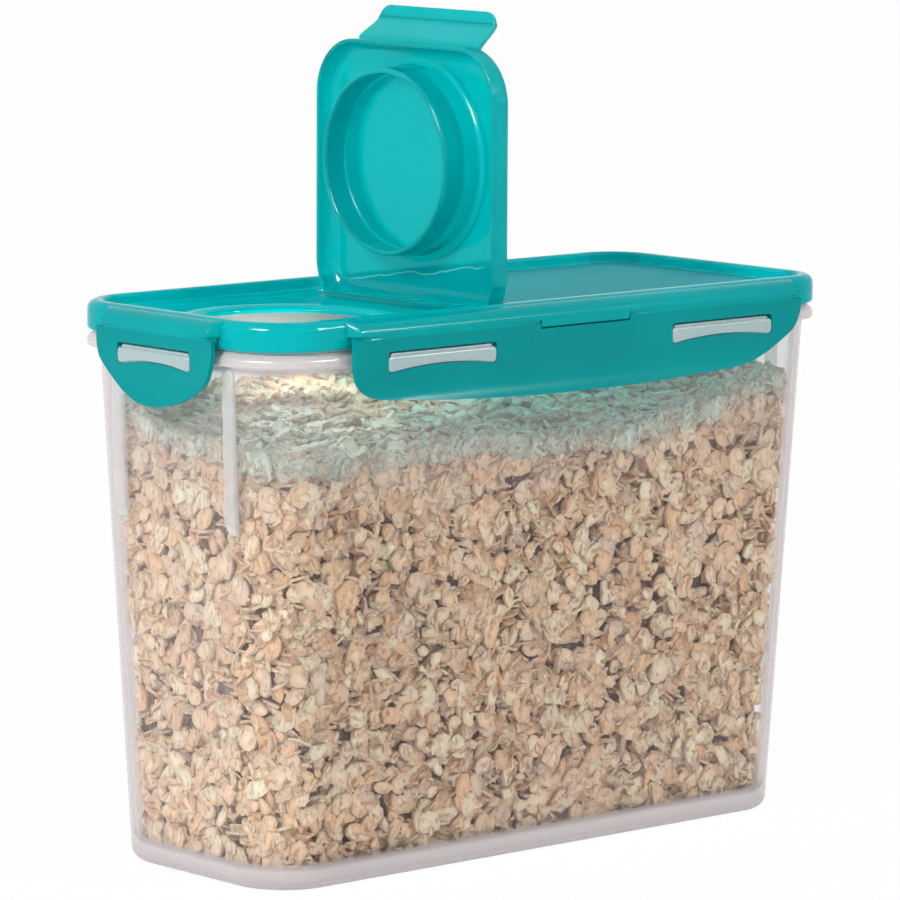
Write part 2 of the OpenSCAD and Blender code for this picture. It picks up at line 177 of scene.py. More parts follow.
def place_ring(loop):
    """Moves the selected ring of the edited mesh to the loop's points, in mm."""
    mesh = bpy.context.object.data
    bm = bmesh.from_edit_mesh(mesh)
    order = bm.verts.layers.int["order"]
    for v in bm.verts:
        if v.select:
            v.co = Vector(loop[v[order]]) * MM
    bmesh.update_edit_mesh(mesh)


def loft(name, loops):
    """A closed moulding: a flat disc is put on the first loop and extruded through the others."""
    clear_selection()
    bpy.ops.mesh.primitive_circle_add(vertices=len(loops[0]), radius=1, fill_type="NGON")
    obj = bpy.context.object
    obj.name = name
    obj.data.name = name
    bpy.ops.object.mode_set(mode="EDIT")
    bm = bmesh.from_edit_mesh(obj.data)
    order = bm.verts.layers.int.new("order")
    for i, v in enumerate(bm.verts):
        v[order] = i
    bmesh.update_edit_mesh(obj.data)
    bpy.ops.mesh.select_all(action="SELECT")
    place_ring(loops[0])
    for loop in loops[1:]:
        bpy.ops.mesh.extrude_region_move()
        place_ring(loop)
    bpy.ops.object.mode_set(mode="OBJECT")
    obj.data.attributes.remove(obj.data.attributes["order"])
    outward(obj)
    return obj


def spun(name, profile, steps=96):
    """A round piece about Z, spun from a profile of (radius, height) in mm."""
    clear_selection()
    bpy.ops.mesh.primitive_plane_add(size=MM)
    obj = bpy.context.object
    obj.name = name
    obj.data.name = name
    bpy.ops.object.mode_set(mode="EDIT")
    pick(lambda v: v.co.x < 0 or v.co.y < 0, "VERT")
    bpy.ops.mesh.delete(type="VERT")
    bpy.ops.mesh.select_all(action="SELECT")
    bm = bmesh.from_edit_mesh(obj.data)
    bm.verts.ensure_lookup_table()
    bm.verts[0].co = Vector((profile[0][0] * MM, 0, profile[0][1] * MM))
    bmesh.update_edit_mesh(obj.data)
    for (r0, z0), (r1, z1) in zip(profile, profile[1:]):
        bpy.ops.mesh.extrude_region_move(
            TRANSFORM_OT_translate={"value": ((r1 - r0) * MM, 0, (z1 - z0) * MM)})
    bpy.ops.mesh.select_all(action="SELECT")
    bpy.ops.mesh.spin(steps=steps, angle=math.tau, center=(0, 0, 0), axis=(0, 0, 1), use_auto_merge=True)
    bpy.ops.object.mode_set(mode="OBJECT")
    outward(obj)
    return obj


# ------------------------------------------------------------- plans and curves
def arc(cx, cy, r, a0, a1, n):
    """Points of an arc, angles in degrees."""
    out = []
    for i in range(n + 1):
        a = math.radians(a0 + (a1 - a0) * i / n)
        out.append((cx + r * math.cos(a), cy + r * math.sin(a)))
    return out


def rounded(length, width, r_front, r_rear, z, n=CORNER_STEPS):
    """Rounded rectangle about the middle, as a loop at height z."""
    x, y = length / 2, width / 2
    points = arc(x - r_rear, y - r_rear, r_rear, 0, 90, n)
    points += arc(r_front - x, y - r_front, r_front, 90, 180, n)
    points += arc(r_front - x, r_front - y, r_front, 180, 270, n)
    points += arc(x - r_rear, r_rear - y, r_rear, 270, 360, n)
    return [(px, py, z) for px, py in points]


def bin_loop(z, d=0.0):
    """The bin's outline at height z, moved in by d."""
    grow = DRAFT * min(z / COLLAR_LOW, 1.0) - d
    r_rear = BASE_R_REAR - REAR_R_TAPER * z - d
    return rounded(BASE_L + 2 * grow, BASE_W + 2 * grow, BASE_R - d, r_rear, z)


def rim_loop(z, d=0.0):
    """The rim's outline at height z, moved in by d."""
    return rounded(RIM_L - 2 * d, RIM_W - 2 * d, RIM_R_FRONT - d, RIM_R_REAR - d, z)


def quarter(d0, z0, d1, z1, late, n=5):
    """Points of a quarter round from (d0, z0) to (d1, z1), without the first; a late one sets off along z."""
    points = []
    for i in range(1, n + 1):
        a = math.pi / 2 * i / n
        s, c = math.sin(a), 1 - math.cos(a)
        points.append((d0 + (d1 - d0) * (c if late else s), z0 + (z1 - z0) * (s if late else c)))
    return points


def ease(t):
    """Share from 0 to 1 that sets off and ends gently."""
    t = min(max(t, 0.0), 1.0)
    return t * t * (3 - 2 * t)


# ------------------------------------------------------------------- camera
CAMERA_PLACE = (-1.276779, -1.435716, 0.399563)
CAMERA_TURN, CAMERA_RISE, CAMERA_ROLL = -131.6, 7.8985, 0.2759
CAMERA_LENS, CAMERA_SENSOR = 225.79, 36


def aim_camera():
    """A long lens off the pour end's right corner; turn, rise and roll are in degrees."""
    lens = bpy.data.cameras.new("camera")
    lens.sensor_width = CAMERA_SENSOR
    lens.lens = CAMERA_LENS
    lens.clip_end = 20
    camera = bpy.data.objects.new("camera", lens)
    bpy.context.collection.objects.link(camera)
    turn = Matrix.Rotation(math.radians(CAMERA_TURN + 90), 4, "Z")
    rise = Matrix.Rotation(math.radians(90 - CAMERA_RISE), 4, "X")
    roll = Matrix.Rotation(math.radians(CAMERA_ROLL), 4, "Z")
    camera.matrix_world = Matrix.Translation(CAMERA_PLACE) @ turn @ rise @ roll
    bpy.context.scene.camera = camera


aim_camera()


# ------------------------------------------------------------------- materials
def srgb(r, g, b):
    """A colour written as 0-255 screen values, turned into the linear values that a shader takes."""
    out = []
    for v in (r, g, b):
        v /= 255
        out.append(v / 12.92 if v <= 0.04045 else ((v + 0.055) / 1.055) ** 2.4)
    return (*out, 1.0)


class Bench:
    """A node tree under construction: a material, or a node group that materials share."""

    def __init__(self, tree):
        self.tree = tree

    def node(self, kind, **settings):
        node = self.tree.nodes.new(kind)
        for name, value in settings.items():
            setattr(node, name, value)
        return node

    def join(self, start, end):
        self.tree.links.new(start, end)

    def math(self, operation, a, b=None, clamp=False):
        node = self.node("ShaderNodeMath", operation=operation, use_clamp=clamp)
        for socket, value in zip(node.inputs, (a, b)):
            if isinstance(value, (int, float)):
                socket.default_value = value
            elif value is not None:
                self.join(value, socket)
        return node.outputs[0]

    def remap(self, value, low, high, to_low=0.0, to_high=1.0, smooth=False):
        node = self.node("ShaderNodeMapRange", interpolation_type="SMOOTHSTEP" if smooth else "LINEAR")
        limits = {"From Min": low, "From Max": high, "To Min": to_low, "To Max": to_high}
        for name, number in limits.items():
            node.inputs[name].default_value = number
        self.join(value, node.inputs["Value"])
        return node.outputs["Result"]

    def noise(self, vector, scale, detail=2.0, roughness=0.5):
        node = self.node("ShaderNodeTexNoise")
        node.inputs["Detail"].default_value = detail
        node.inputs["Roughness"].default_value = roughness
        if isinstance(scale, (int, float)):
            node.inputs["Scale"].default_value = scale
        else:
            self.join(scale, node.inputs["Scale"])
        self.join(vector, node.inputs["Vector"])
        return node.outputs["Fac"]

    def blend(self, share, a, b):
        """Colour between a and b by a share that changes over the surface."""
        node = self.node("ShaderNodeMix", data_type="RGBA")
        self.join(share, node.inputs["Factor"])
        for socket, value in ((node.inputs["A"], a), (node.inputs["B"], b)):
            if isinstance(value, tuple):
                socket.default_value = value
            else:
                self.join(value, socket)
        return node.outputs["Result"]

    def stretched(self, vector, scale):
        node = self.node("ShaderNodeMapping")
        node.inputs["Scale"].default_value = scale
        self.join(vector, node.inputs["Vector"])
        return node.outputs["Vector"]


class Sheet(Bench):
    """A material under construction, with its Principled shader and its place coordinates."""

    def __init__(self, name, colour, **values):
        self.material = bpy.data.materials.new(name)
        self.material.use_nodes = True
        super().__init__(self.material.node_tree)
        self.shader = self.tree.nodes["Principled BSDF"]
        self.place = self.node("ShaderNodeTexCoord").outputs["Object"]
        self.set(Base_Color=colour, **values)

    def axes(self, names):
        """The named coordinates of the point that is shaded, in metres, such as X and Z for "XZ"."""
        parts = self.node("ShaderNodeSeparateXYZ")
        self.join(self.place, parts.inputs[0])
        return [parts.outputs[name] for name in names]

    def set(self, **values):
        for name, value in values.items():
            self.shader.inputs[name.replace("_", " ")].default_value = value

    def feed(self, value, name):
        self.join(value, self.shader.inputs[name])

    def group(self, tree, **values):
        node = self.node("ShaderNodeGroup")
        node.node_tree = tree
        self.join(self.place, node.inputs["Vector"])
        for name, value in values.items():
            node.inputs[name.replace("_", " ")].default_value = value
        return node.outputs

    def bump(self, height, depth, strength=1.0):
        node = self.node("ShaderNodeBump")
        node.inputs["Strength"].default_value = strength
        node.inputs["Distance"].default_value = depth * MM
        self.join(height, node.inputs["Height"])
        self.feed(node.outputs["Normal"], "Normal")


def new_group(name, inputs, outputs):
    """A node group with a Vector input, named values that go in and values that come out."""
    tree = bpy.data.node_groups.new(name, "ShaderNodeTree")
    tree.interface.new_socket("Vector", in_out="INPUT", socket_type="NodeSocketVector")
    for label, value in inputs.items():
        socket = tree.interface.new_socket(label, in_out="INPUT", socket_type="NodeSocketFloat")
        socket.default_value = value
    for label in outputs:
        tree.interface.new_socket(label, in_out="OUTPUT", socket_type="NodeSocketFloat")
    bench = Bench(tree)
    return bench, bench.node("NodeGroupInput").outputs, bench.node("NodeGroupOutput").inputs


def moulded_skin():
    """Skin of a plastic moulding: fine grain, slow flow waves and a broad mottle."""
    inputs = {"Grain Scale": 1400.0, "Wave Share": 0.5}
    bench, given, out = new_group("moulded_skin", inputs, ("Height", "Mottle", "Grain"))
    grain = bench.noise(given["Vector"], given["Grain Scale"], 3, 0.6)
    waves = bench.noise(given["Vector"], 60.0, 1)
    broad = bench.noise(given["Vector"], 14.0, 2)
    waving = bench.math("MULTIPLY", waves, given["Wave Share"])
    graining = bench.math("MULTIPLY", grain, bench.math("SUBTRACT", 1.0, given["Wave Share"]))
    bench.join(bench.math("ADD", waving, graining), out["Height"])
    bench.join(bench.remap(broad, 0.3, 0.7), out["Mottle"])
    bench.join(grain, out["Grain"])
    return bench.tree


def hair_scratches():
    """Faint scratches from use and washing, in two directions."""
    bench, given, out = new_group("hair_scratches", {"Scale": 1.0, "Share": 0.5}, ("Mask",))
    masks = []
    for scale in ((30, 1100, 500), (900, 60, 380)):
        lines = bench.noise(bench.stretched(given["Vector"], scale), given["Scale"], 2, 0.4)
        masks.append(bench.remap(lines, 0.68, 0.76))
    patches = bench.remap(bench.noise(given["Vector"], 25.0, 2), 0.45, 0.65)
    worn = bench.math("MULTIPLY", bench.math("MAXIMUM", *masks), patches)
    bench.join(bench.math("MULTIPLY", worn, given["Share"]), out["Mask"])
    return bench.tree


SKIN, SCRATCHES = moulded_skin(), hair_scratches()
# The second colour here is painted light, for all that lies inside the lid's rim.
# The third colour here is the cap's crease: its stress-whitening with a painted highlight.
TEAL_WORN, TEAL_INSIDE_PAINTED_LIGHT, TEAL_CREASE_WHITE_AND_HIGHLIGHT = srgb(60, 200, 200), srgb(0, 198, 202), srgb(190, 240, 240)
# Duller teal of the deck: its matte texture, together with a painted sheen.
DECK_MATT_AND_SHEEN = srgb(50, 158, 170)
FROST_FOOT_SHADE = srgb(192, 183, 185)

# Room given to the deck's level, its edge at the recess and the rim's inner edge, in mm.
DECK_LEVEL_SLACK, DECK_EDGE_SLACK, RIM_SLACK = 0.15, 0.2, 0.6

# Crease of the cap, lengths in mm: a line over Y at a level of Z, which slopes and wanders a little; it is
# painted lighter for its stress-whitening and a painted highlight.
CREASE_LEVEL, CREASE_SLOPE, CREASE_WANDER = 195.5, 0.13, 1.2
CREASE_CORE, CREASE_FADE = 0.1, 0.35
CREASE_FULL_TO, CREASE_GONE_AT = 30.0, 36.0

# Where the bin hides more: from one height to another, in mm, and how much more it hides there.
HAZE_AT_FOOT, HAZE_AT_COLLAR, HAZE_AT_TOP = (10.0, 6.0, 0.85), (171.0, 174.5, 0.7), (120.0, 150.0, 0.1)
HAZE_MOST = 0.96
# From one height to another, in mm, the bin's colour turns to painted shade at its foot.
FOOT_SHADE_FROM, FOOT_SHADE_FULL = 10.0, 2.0


def deck_share(sheet):
    """1 on the deck's flat top, 0 elsewhere on the lid."""
    x, z = sheet.axes("XZ")
    level = sheet.node("ShaderNodeMath", operation="COMPARE")
    sheet.join(z, level.inputs[0])
    level.inputs[1].default_value = DECK_TOP * MM
    level.inputs[2].default_value = DECK_LEVEL_SLACK * MM
    start, full = RECESS_REAR - DECK_EDGE_SLACK, RECESS_REAR + DECK_EDGE_SLACK
    return sheet.math("MULTIPLY", sheet.remap(x, start * MM, full * MM), level.outputs[0])


def inside_rim_share(sheet):
    """1 on all that lies inside the rim's band, 0 on the rim and outside it: where the lid gets its painted
    light.
    """
    x, y = sheet.axes("XY")
    offsets = []
    for axis, half in ((x, RIM_L / 2), (y, RIM_W / 2)):
        past = sheet.math("SUBTRACT", sheet.math("ABSOLUTE", axis), (half - RIM_R_FRONT) * MM)
        offsets.append(sheet.math("POWER", sheet.math("MAXIMUM", past, 0.0), 2.0))
    reach = (RIM_R_FRONT - RIM_BAND + RIM_SLACK) * MM
    return sheet.math("LESS_THAN", sheet.math("ADD", *offsets), reach * reach)


def crease_white_and_highlight_share(sheet):
    """1 on the fold line of the cap, painted lighter for its stress-whitening and a painted highlight, 0 away
    from it.
    """
    y, z = sheet.axes("YZ")
    ripple = sheet.noise(sheet.stretched(sheet.place, (0, 1, 0)), 55.0, 3)
    wander = sheet.remap(ripple, 0.3, 0.7, -CREASE_WANDER * MM, CREASE_WANDER * MM)
    slope = sheet.math("ADD", sheet.math("MULTIPLY", y, CREASE_SLOPE), z)
    off = sheet.math("ADD", slope, sheet.math("SUBTRACT", wander, CREASE_LEVEL * MM))
    line = sheet.remap(sheet.math("ABSOLUTE", off), CREASE_FADE * MM, CREASE_CORE * MM)
    ends = sheet.remap(sheet.math("ABSOLUTE", y), CREASE_GONE_AT * MM, CREASE_FULL_TO * MM)
    return sheet.math("MULTIPLY", line, ends)


def teal_moulding(name, deep, lit, roughness, see_through, matt_deck=False, crease_white_and_highlight=False):
    """Clear teal plastic with flow mottle and hair scratches; a lid's deck can be matt with a painted sheen,
    with painted light inside its rim, and a cap can have its crease painted lighter with a painted highlight.
    """
    sheet = Sheet(name, lit, Specular_IOR_Level=0.2, IOR=1.22, Transmission_Weight=see_through)
    skin = sheet.group(SKIN, Wave_Share=0.75)
    worn = sheet.group(SCRATCHES, Share=0.5)["Mask"]
    colour = sheet.blend(skin["Mottle"], deep, lit)
    colour = sheet.blend(sheet.math("MULTIPLY", worn, 0.25), colour, TEAL_WORN)
    rough = sheet.remap(skin["Grain"], 0.3, 0.7, roughness * 0.85, roughness * 1.15)
    rough = sheet.math("ADD", rough, sheet.math("MULTIPLY", worn, 0.12))
    if matt_deck:
        deck = deck_share(sheet)
        # Painted light: all inside the rim's band turns a lighter teal, where the recess and inner walls lie
        # in shade.
        colour = sheet.blend(inside_rim_share(sheet), colour, TEAL_INSIDE_PAINTED_LIGHT)
        rough = sheet.math("ADD", rough, sheet.math("MULTIPLY", deck, 0.5))
        # The deck's matte speckle, pulled to a duller teal that is partly a painted sheen.
        matt = sheet.math("MULTIPLY", deck, sheet.remap(skin["Grain"], 0.2, 0.7, 0.5, 0.95))
        colour = sheet.blend(matt, colour, DECK_MATT_AND_SHEEN)
    if crease_white_and_highlight:
        # Painted highlight along the cap's fold, lightened together with its stress-whitening.
        colour = sheet.blend(sheet.math("MULTIPLY", crease_white_and_highlight_share(sheet), 0.55), colour, TEAL_CREASE_WHITE_AND_HIGHLIGHT)
    sheet.feed(colour, "Base Color")
    sheet.feed(rough, "Roughness")
    sheet.bump(skin["Height"], 0.02)
    return sheet.material


def frosted(name, colour, face, edge, base_band=False):
    """Milky clear plastic: it hides more where the eye meets it at a slant and where the bin is thick, and is
    painted darker towards its foot as shade.
    """
    sheet = Sheet(name, colour, Specular_IOR_Level=0.35, IOR=1.49)
    skin = sheet.group(SKIN, Wave_Share=0.6)
    worn = sheet.group(SCRATCHES, Share=0.6)["Mask"]
    slant = sheet.node("ShaderNodeLayerWeight")
    slant.inputs["Blend"].default_value = 0.4
    haze = sheet.remap(slant.outputs["Facing"], 0.25, 0.75, face, edge, smooth=True)
    haze = sheet.math("ADD", haze, sheet.math("MULTIPLY", worn, 0.08))
    haze = sheet.math("ADD", haze, sheet.remap(skin["Mottle"], 0, 1, -0.02, 0.02))
    if base_band:
        height = sheet.axes("Z")[0]
        for start, end, more in (HAZE_AT_FOOT, HAZE_AT_COLLAR, HAZE_AT_TOP):
            rise = sheet.remap(height, start * MM, end * MM, 0, more, smooth=True)
            haze = sheet.math("ADD", haze, rise)
        # Painted shade: the colour darkens towards the foot, where the bin meets the floor.
        thick = sheet.remap(height, FOOT_SHADE_FROM * MM, FOOT_SHADE_FULL * MM, smooth=True)
        sheet.feed(sheet.blend(thick, colour, FROST_FOOT_SHADE), "Base Color")
    sheet.feed(sheet.math("MINIMUM", haze, HAZE_MOST), "Alpha")
    sheet.feed(sheet.remap(skin["Grain"], 0.3, 0.7, 0.2, 0.32), "Roughness")
    sheet.bump(skin["Height"], 0.03)
    return sheet.material


def soft_seal():
    """Dull pale rubber of the gasket."""
    sheet = Sheet("soft_seal", srgb(205, 210, 210), Specular_IOR_Level=0.3)
    skin = sheet.group(SKIN, Grain_Scale=900.0, Wave_Share=0.2)
    sheet.feed(sheet.blend(skin["Mottle"], srgb(198, 204, 204), srgb(212, 216, 215)), "Base Color")
    sheet.feed(sheet.remap(skin["Grain"], 0.3, 0.7, 0.55, 0.7), "Roughness")
    sheet.bump(skin["Height"], 0.05)
    return sheet.material


def oat_skin():
    """Rolled oats: the flake's own tone with bran streaks and pale meal."""
    sheet = Sheet("rolled_oats", srgb(225, 205, 176), Roughness=0.75, Specular_IOR_Level=0.1)
    tone = sheet.node("ShaderNodeAttribute", attribute_name="tone")
    meal = sheet.remap(sheet.noise(sheet.place, 700.0, 4, 0.65), 0.42, 0.72)
    drawn_out = sheet.stretched(sheet.place, (1, 2.2, 0.6))
    streaks = sheet.remap(sheet.noise(drawn_out, 420.0, 3, 0.6), 0.5, 0.68)
    pale = sheet.blend(sheet.math("MULTIPLY", meal, 0.35), tone.outputs["Color"], srgb(244, 232, 214))
    sheet.feed(sheet.blend(sheet.math("MULTIPLY", streaks, 0.7), pale, srgb(158, 118, 84)), "Base Color")
    sheet.bump(sheet.noise(sheet.place, 900.0, 3, 0.6), 0.35, 0.8)
    return sheet.material


# One teal plastic in four colours: the locks' darker teal, the lands' teal between and the cap's lighter teal
# are painted shade and painted light.
teal = teal_moulding("teal_lock", srgb(0, 150, 153), srgb(0, 161, 164), 0.11, 0.2)
teal_lid = teal_moulding("teal_lid", srgb(0, 174, 179), srgb(0, 184, 188), 0.09, 0.15, matt_deck=True)
teal_land = teal_moulding("teal_land", srgb(0, 164, 168), srgb(0, 176, 179), 0.12, 0.2)
teal_cap = teal_moulding("teal_cap", srgb(0, 182, 184), srgb(0, 190, 192), 0.08, 0.6, crease_white_and_highlight=True)
frost = frosted("frosted_wall", srgb(214, 206, 206), 0.06, 0.95, base_band=True)
frost_rib = frosted("frosted_rib", srgb(228, 230, 231), 0.34, 0.9)
# The lugs' grey-teal, darker than the bin's frost, is painted shade and teal light from the locks over them.
lug_frost_shaded = frosted("frosted_lug", srgb(174, 195, 198), 0.85, 0.96)
rubber = soft_seal()
oat = oat_skin()


def finish_piece(obj, body, material, *nodes, slot=None):
    """Gives a piece its material, the body it rides on and the nodes it stands for; its slot is not used."""
    obj.data.materials.clear()
    obj.data.materials.append(material)
    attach(obj, body)
    if nodes:
        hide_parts(*nodes)
    return obj


# ------------------------------------------------------------------------ bin
def make_bin():
    """Foot ring, rounded bottom, tapered walls, collar, neck and the inside, as one closed moulding."""
    outside = [(10.5, 3.5), (9.4, 3.4), (9.0, 2.9), (8.8, 0.5), (8.3, 0.0), (4.0, 0.0)]
    outside += quarter(4.0, 0.0, 0.0, 4.0, False, 7) + [(0, 60), (0, 120), (0, 172.6)]
    outside += quarter(0, 172.6, -1.6, COLLAR_LOW, True, 4)
    collar = [(0.9, COLLAR_LOW)] + quarter(0.9, COLLAR_LOW, 0, COLLAR_LOW + 0.9, False, 4)
    collar += [(0, COLLAR_TOP - 0.7), (0.08, COLLAR_TOP - 0.3), (0.35, COLLAR_TOP + 0.1)]
    collar += [(2.0, COLLAR_TOP + 1.75), (2.3, COLLAR_TOP + 2.05), (2.4, COLLAR_TOP + 2.4)]
    collar += [(2.4, NECK_TOP - 0.6)] + quarter(2.4, NECK_TOP - 0.6, 3.0, NECK_TOP, True, 3)
    collar += [(3.8, NECK_TOP)] + quarter(3.8, NECK_TOP, 4.4, NECK_TOP - 0.6, False, 3)
    collar += [(4.4, COLLAR_TOP + 1.0)]
    inside = [(WALL, COLLAR_TOP - 0.5), (WALL, 120), (WALL, 60), (WALL, 8.2)]
    inside += quarter(WALL, 8.2, 4.0, 6.0, True, 5) + [(12.0, 6.0)]
    loops = [bin_loop(z, d) for d, z in outside] + [rim_loop(z, d) for d, z in collar]
    return settle(loft("bin", loops + [bin_loop(z, d) for d, z in inside]))


def make_rib(name, sx, sy):
    """Upright rib on an end wall, rounded along its edges and cut off at a slant below."""
    low = COLLAR_LOW - RIB_DOWN
    top = BASE_L / 2 + DRAFT + 0.6
    wall_low = BASE_L / 2 + DRAFT * low / COLLAR_LOW
    stages = [(wall_low - 0.3, low - 3, 2.4), (wall_low + 1.1, low - 0.4, 2.7)]
    stages += [(wall_low + 1.4, low, 2.8), (top, COLLAR_LOW + 0.5, 2.6)]
    loops = []
    for x, z, half in stages:
        back = BASE_L / 2 + DRAFT * min(z / COLLAR_LOW, 1) - 0.6
        front = arc(x - 0.6, half - 0.6, 0.6, 0, 90, 3)
        section = [(px, -py) for px, py in reversed(front)] + front + [(back, half), (back, -half)]
        loops.append([(sx * px, sy * RIB_AT + py, z) for px, py in section])
    return settle(loft(name, loops))


# ------------------------------------------------------------------------ lid
def make_lid():
    """Deck underside, gasket channel, skirt, rounded rim and deck, as one closed moulding."""
    under = DECK_TOP - DECK_T
    inner = RIM_BAND - DECK_T
    roof = RIM_TOP - SKIRT_T
    path = [(inner + 3, under), (inner, under), (inner, roof - 0.4)]
    path += quarter(inner, roof - 0.4, inner - 0.4, roof, True, 2)
    path += [(SKIRT_T + 0.4, roof)] + quarter(SKIRT_T + 0.4, roof, SKIRT_T, roof - 0.4, False, 2)
    path += [(SKIRT_T, SKIRT_LOW + 0.4), (SKIRT_T - 0.4, SKIRT_LOW), (1.1, SKIRT_LOW)]
    path += quarter(1.1, SKIRT_LOW, 0, SKIRT_LOW + 1.1, False, 4)
    path += [(0, 183.6), (0, 186.8)] + quarter(0, 186.8, 3.2, RIM_TOP, True, 7)
    path += [(RIM_BAND - 1.2, RIM_TOP)] + quarter(RIM_BAND - 1.2, RIM_TOP, RIM_BAND, RIM_TOP - 1.2, False, 4)
    path += [(RIM_BAND, DECK_TOP + 0.8)]
    path += quarter(RIM_BAND, DECK_TOP + 0.8, RIM_BAND + 0.8, DECK_TOP, True, 3)
    lid = loft("lid_moulding", [rim_loop(z, d) for d, z in path])
    boolean(lid, recess_block("recess_pan", DECK_T, -DECK_T, RECESS_TOP - DECK_T), "UNION")
    boolean(lid, recess_block("recess_space", 0, 0, RECESS_TOP))
    boolean(lid, lip_blank(), "UNION")
    boolean(lid, hole_space())
    return settle(lid)


def recess_block(name, grow, drop, low):
    """The space over the sunk recess, or the pan under it."""
    front, rear = 2 + RIM_BAND - RIM_L / 2 - grow, RECESS_REAR + grow
    width = RIM_W - 2 * (RIM_BAND + 2) + 2 * grow
    r_front, r_rear = RIM_R_FRONT - RIM_BAND - 2 + grow, 6 + grow
    top = DECK_TOP + 4 if drop == 0 else DECK_TOP - 0.8
    stages = [(1.0, low), (0.3, low + 0.3), (0, low + 1.0)] if drop == 0 else [(0, low)]
    stages += [(0, top)]
    loops = []
    for d, z in stages:
        loop = rounded(rear - front - 2 * d, width - 2 * d, r_front - d, r_rear - d, z)
        loops.append([(x + (rear + front) / 2, y, z) for x, y, z in loop])
    return loft(name, loops)


def lip_blank():
    """Ring that stiffens the recess floor from below, round the pour hole."""
    low, bend, top = 182.1, 183.3, 184.2
    section = [(HOLE_R - 1, low), (HOLE_R + 2, low), (HOLE_R + 4, bend), (HOLE_R + 4, top)]
    ring = spun("lip_blank", section + [(HOLE_R - 1, top), (HOLE_R - 1, low)])
    ring.location.x = HOLE_X * MM
    return ring


def hole_space():
    """Space of the pour hole with the rounded lip above it."""
    lip = [(HOLE_R + 3.4, RECESS_TOP), (HOLE_R + 2.3, RECESS_TOP - 0.15), (HOLE_R + 1.4, RECESS_TOP - 0.5),
           (HOLE_R + 0.6, RECESS_TOP - 1.05), (HOLE_R + 0.15, RECESS_TOP - 1.5), (HOLE_R, RECESS_TOP - 1.8)]
    space = spun("hole_space", [(0, 195), (HOLE_R + 3.4, 195)] + lip + [(HOLE_R, 180), (0, 180)])
    space.location.x = HOLE_X * MM
    return space


def on_wall(i, u, y, z):
    """Point of a wall: 0 front, 1 rear, 2 right, 3 left; u outwards from the rim, y along the wall."""
    if i == 0:
        return -RIM_L / 2 - u, -y, z
    if i == 1:
        return RIM_L / 2 + u, y, z
    side = -1 if i == 2 else 1
    return LOCK_MIDDLE + y, side * (RIM_W / 2 + u), z


def land_section(low, out):
    """Section of a swelling that stands out from the rim, convex like a drop."""
    section = [(-SKIRT_T, low), (out - 0.5, low), (out - 0.15, low + 0.15), (out, low + 0.5)]
    section += [(out, LAND_LOW + 0.6)]
    for t in (12, 24, 36, 48, 60, 72, 84, 90):
        c, r = math.cos(math.radians(t)), math.sin(math.radians(t))
        section.append((-1 + (out + 1) * c, LAND_LOW + 0.6 + (LAND_TOP - LAND_LOW - 0.6) * r))
    return section + [(-SKIRT_T, LAND_TOP - 0.2)]


# How a land swells out of the rim at its end: share of the slant, and how far it stands out.
LAND_END = ((0, 0.02), (0.06, 0.5), (0.22, 1.35), (0.45, 2.4), (0.68, 3.4), (0.84, 4.0), (0.94, 4.3),
            (1.15, LOCK_OUT))


def make_land(i, name, half, tongue=False):
    """Swelling of the rim that a lock hangs from, with slanted ends and its fixed tongue."""
    stages = [(half - LAND_SLANT * share, out, LAND_LOW) for share, out in LAND_END]
    if tongue:
        t = TONGUE_HALF
        stages += [(t + 0.01, LOCK_OUT, LAND_LOW), (t, LOCK_OUT, TONGUE_LOW + 0.3)]
        stages += [(t - 0.3, LOCK_OUT, TONGUE_LOW)]
    both = [(-y, out, low) for y, out, low in stages] + stages[::-1]
    loops = [[on_wall(i, u, y, z) for u, z in land_section(low, out)] for y, out, low in both]
    return settle(loft(name, loops), 50)


def make_web(i, name, half, y0, y1):
    """Living hinge between a land and its lock: a shallow groove that is deeper towards its ends."""
    ends = [LAND_SLANT * share for share, out in LAND_END]
    outs = [out for share, out in LAND_END]
    top, low = LAND_LOW + 0.8, LOCK_TOP - 0.8
    middle, back, steps = (LAND_LOW + LOCK_TOP) / 2, 1.0, 20
    loops = []
    for k in range(steps + 1):
        y = y0 + (y1 - y0) * k / steps
        near_start, near_end = 1 - ease((y - y0) / WEB_RUN), 1 - ease((y1 - y) / WEB_RUN)
        depth = WEB_SHALLOW + WEB_DEEP * near_start + WEB_DEEP * near_end
        out = float(np.interp(half - abs(y), ends, outs)) - 0.01
        section = [(out - back, top), (out, top), (out, LAND_LOW), (out - depth * 0.7, LAND_LOW - 0.15),
                   (out - depth, middle), (out - depth * 0.7, LOCK_TOP + 0.15), (out, LOCK_TOP), (out, low),
                   (out - back - depth, low), (out - back - depth, top)]
        loops.append([on_wall(i, u, y, z) for u, z in section])
    return settle(loft(name, loops), 60)


# ---------------------------------------------------------------------- locks
# Bottom edge towards an end: radius of the bow, where it stops, radius of the turn and of the corner.
END_EDGE = (38, 7.5, 38, 15)
SIDE_EDGE_FRONT, SIDE_EDGE_REAR = (1100, 70, 1100, 13), (1100, 70, 50, 14)


def lock_half_edge(half, low, bow, start, turn, r):
    """Bottom edge of a lock from its middle to an end: a bow, a turn and the corner, as (y, z) points."""
    a0 = math.degrees(math.asin(start / bow))
    my = (bow - turn) * math.sin(math.radians(a0))
    mz = low + bow - (bow - turn) * math.cos(math.radians(a0))
    y = half - r
    z = mz - math.sqrt((turn - r) ** 2 - (y - my) ** 2)
    a = math.degrees(math.atan2(z - mz, y - my))
    steps = 10 if half > 50 else 4
    points = arc(0, low + bow, bow, -90, a0 - 90, steps) + arc(my, mz, turn, a0 - 90, a, 10)[1:]
    return points + arc(y, z, r, a, 0, 12)[1:]


